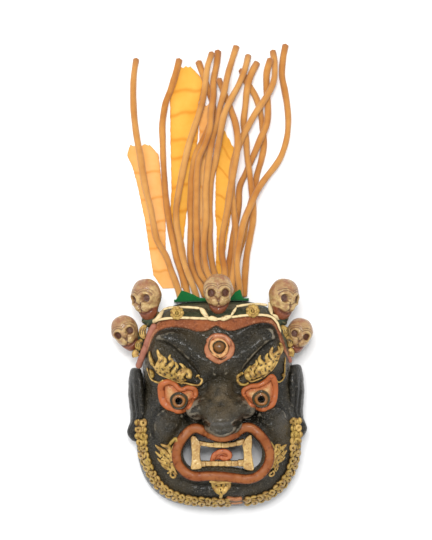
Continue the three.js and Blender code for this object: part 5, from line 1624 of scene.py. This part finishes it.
def carve_skull(name, number):
    _, _, _, lean, turn, size = SKULLS[name]
    kept = {}

    def place(u, v):
        up = np.cos(np.pi * v)
        around = 2 * np.pi * u
        ring = np.sin(np.pi * v) ** 0.8
        narrow = 1 + (SKULL_JAW - 1) * ease(0.15, -0.6, up)
        x = np.cos(around) * ring * SKULL_HALF * narrow
        z = np.sin(around) * ring * SKULL_DEEP * (1 - 0.28 * ease(0.2, -0.7, up))
        y = up * SKULL_TALL
        front = ease(-0.05, 0.45, np.sin(around) * ring)
        push, socket, cuts = skull_relief(x, y)
        temple = 1.6 * np.exp(-(((np.abs(x) - 20) / 4) ** 2 + ((y + 1) / 6) ** 2))
        z = z + push * front
        x = x - np.sign(x) * temple
        x = x + 0.35 * np.sin(y / 3.3 + number) + 0.25 * np.sin(z / 2.1 + 2 * number)
        kept.update(x=x, y=y, z=z, front=front, socket=socket, cuts=cuts)
        a, b = math.radians(turn), math.radians(lean)
        x, z = size * (x * math.cos(a) + z * math.sin(a)), size * (-x * math.sin(a) + z * math.cos(a))
        x, y = x * math.cos(b) - size * y * math.sin(b), x * math.sin(b) + size * y * math.cos(b)
        px, py, pz, *_ = SKULLS[name]
        return to_part(px + x, py + y, pz + z)

    def masks(u, v):
        x, y, front = kept["x"], kept["y"], kept["front"]
        edge = -17.4 + 0.02 * x**2 + 0.5 * np.sin(x / 2.2 + number)
        jaw = ease(1.0, -1.0, y - edge)
        inner = ease(0.4, 0.95, kept["socket"])
        tint = ease(8, 24, y + 3 * np.sin(x / 5 + number)) * 0.65 + 0.35 * ease(16, 22, np.abs(x))
        return {"crest": np.clip(0.25 - 1.2 * kept["cuts"] * front - 0.9 * kept["socket"] * front, -1, 1),
                "jaw_paint": jaw, "cut": np.clip(front * (0.62 * kept["cuts"] + 0.95 * inner), 0, 1),
                "crown_tint": np.clip(tint, 0, 1)}

    return shaped_grid(name, 112, 96, place, masks)


for number, name in enumerate(SKULLS):
    belongs(carve_skull(name, number), bone, name)

# Carved cups on the crown's edge hold each skull by its jaw, dark green with leaf veins.
CUPS = [(0, -40, 88, 17, 9, 14), (-101.5, -49, 74, 15, 14, 14), (90, -53, 74, 15, 14, 14),
        (-117.5, -86, 60, 12, 17, 14), (102, -92, 60, 12, 17, 14)]
cup_green, *_ = painted("dark_green_paint", (0.045, 0.06, 0.035), (0.20, 0.15, 0.07), (0.015, 0.018, 0.012),
                        wear=0.6, grime_and_shade=0.8, roughness=0.45)
for number, (cx, cy, cz, rx, ry, rz) in enumerate(CUPS):
    def place_cup(u, v):
        around, up = 2 * np.pi * u, np.cos(np.pi * v)
        veins = 1 + 0.05 * np.cos(9 * around) * np.sin(np.pi * v)
        ring = np.sin(np.pi * v) * veins
        return to_part(cx + rx * np.cos(around) * ring, cy + ry * np.sin(around) * ring, cz + rz * up)

    def cup_masks(u, v):
        return {"crest": np.cos(18 * np.pi * u) * np.sin(np.pi * v) * 0.8}

    belongs(shaped_grid(f"skull_cup_{number + 1}", 72, 32, place_cup, cup_masks), cup_green)

# ---------------------------------------------------------------- table and light
bm = bmesh.new()
bmesh.ops.create_grid(bm, x_segments=1, y_segments=1, size=6)
floor_mesh = bpy.data.meshes.new("floor")
bm.to_mesh(floor_mesh)
bm.free()
floor = bpy.data.objects.new("floor", floor_mesh)
bpy.context.collection.objects.link(floor)
material, tree, shader = new_material("matt_white_table", 0.9, 0.1)
shader.inputs["Base Color"].default_value = (0.93, 0.93, 0.93, 1)
floor.data.materials.append(material)


def softbox(name, place, aim, size, power):
    lamp = bpy.data.lights.new(name, "AREA")
    lamp.shape = "DISK"
    lamp.size = size
    lamp.energy = power
    made = bpy.data.objects.new(name, lamp)
    made.location = place
    made.rotation_euler = (Vector(aim) - Vector(place)).to_track_quat("-Z", "Y").to_euler()
    bpy.context.collection.objects.link(made)
    return made


softbox("key_softbox", (-0.12, 0.62, 3.0), (0, -0.05, 0.05), 1.0, 62)
softbox("spark_lamp", (0.08, 0.42, 3.0), (0, -0.1, 0.05), 0.24, 13)
softbox("side_softbox", (-1.7, 0.5, 1.8), (0, 0, 0.05), 1.2, 10)
world = bpy.data.worlds.new("studio")
world.use_nodes = True
world.node_tree.nodes["Background"].inputs[0].default_value = (1, 1, 1, 1)
world.node_tree.nodes["Background"].inputs[1].default_value = 0.66
bpy.context.scene.world = world
bpy.context.scene.view_settings.view_transform = "Standard"
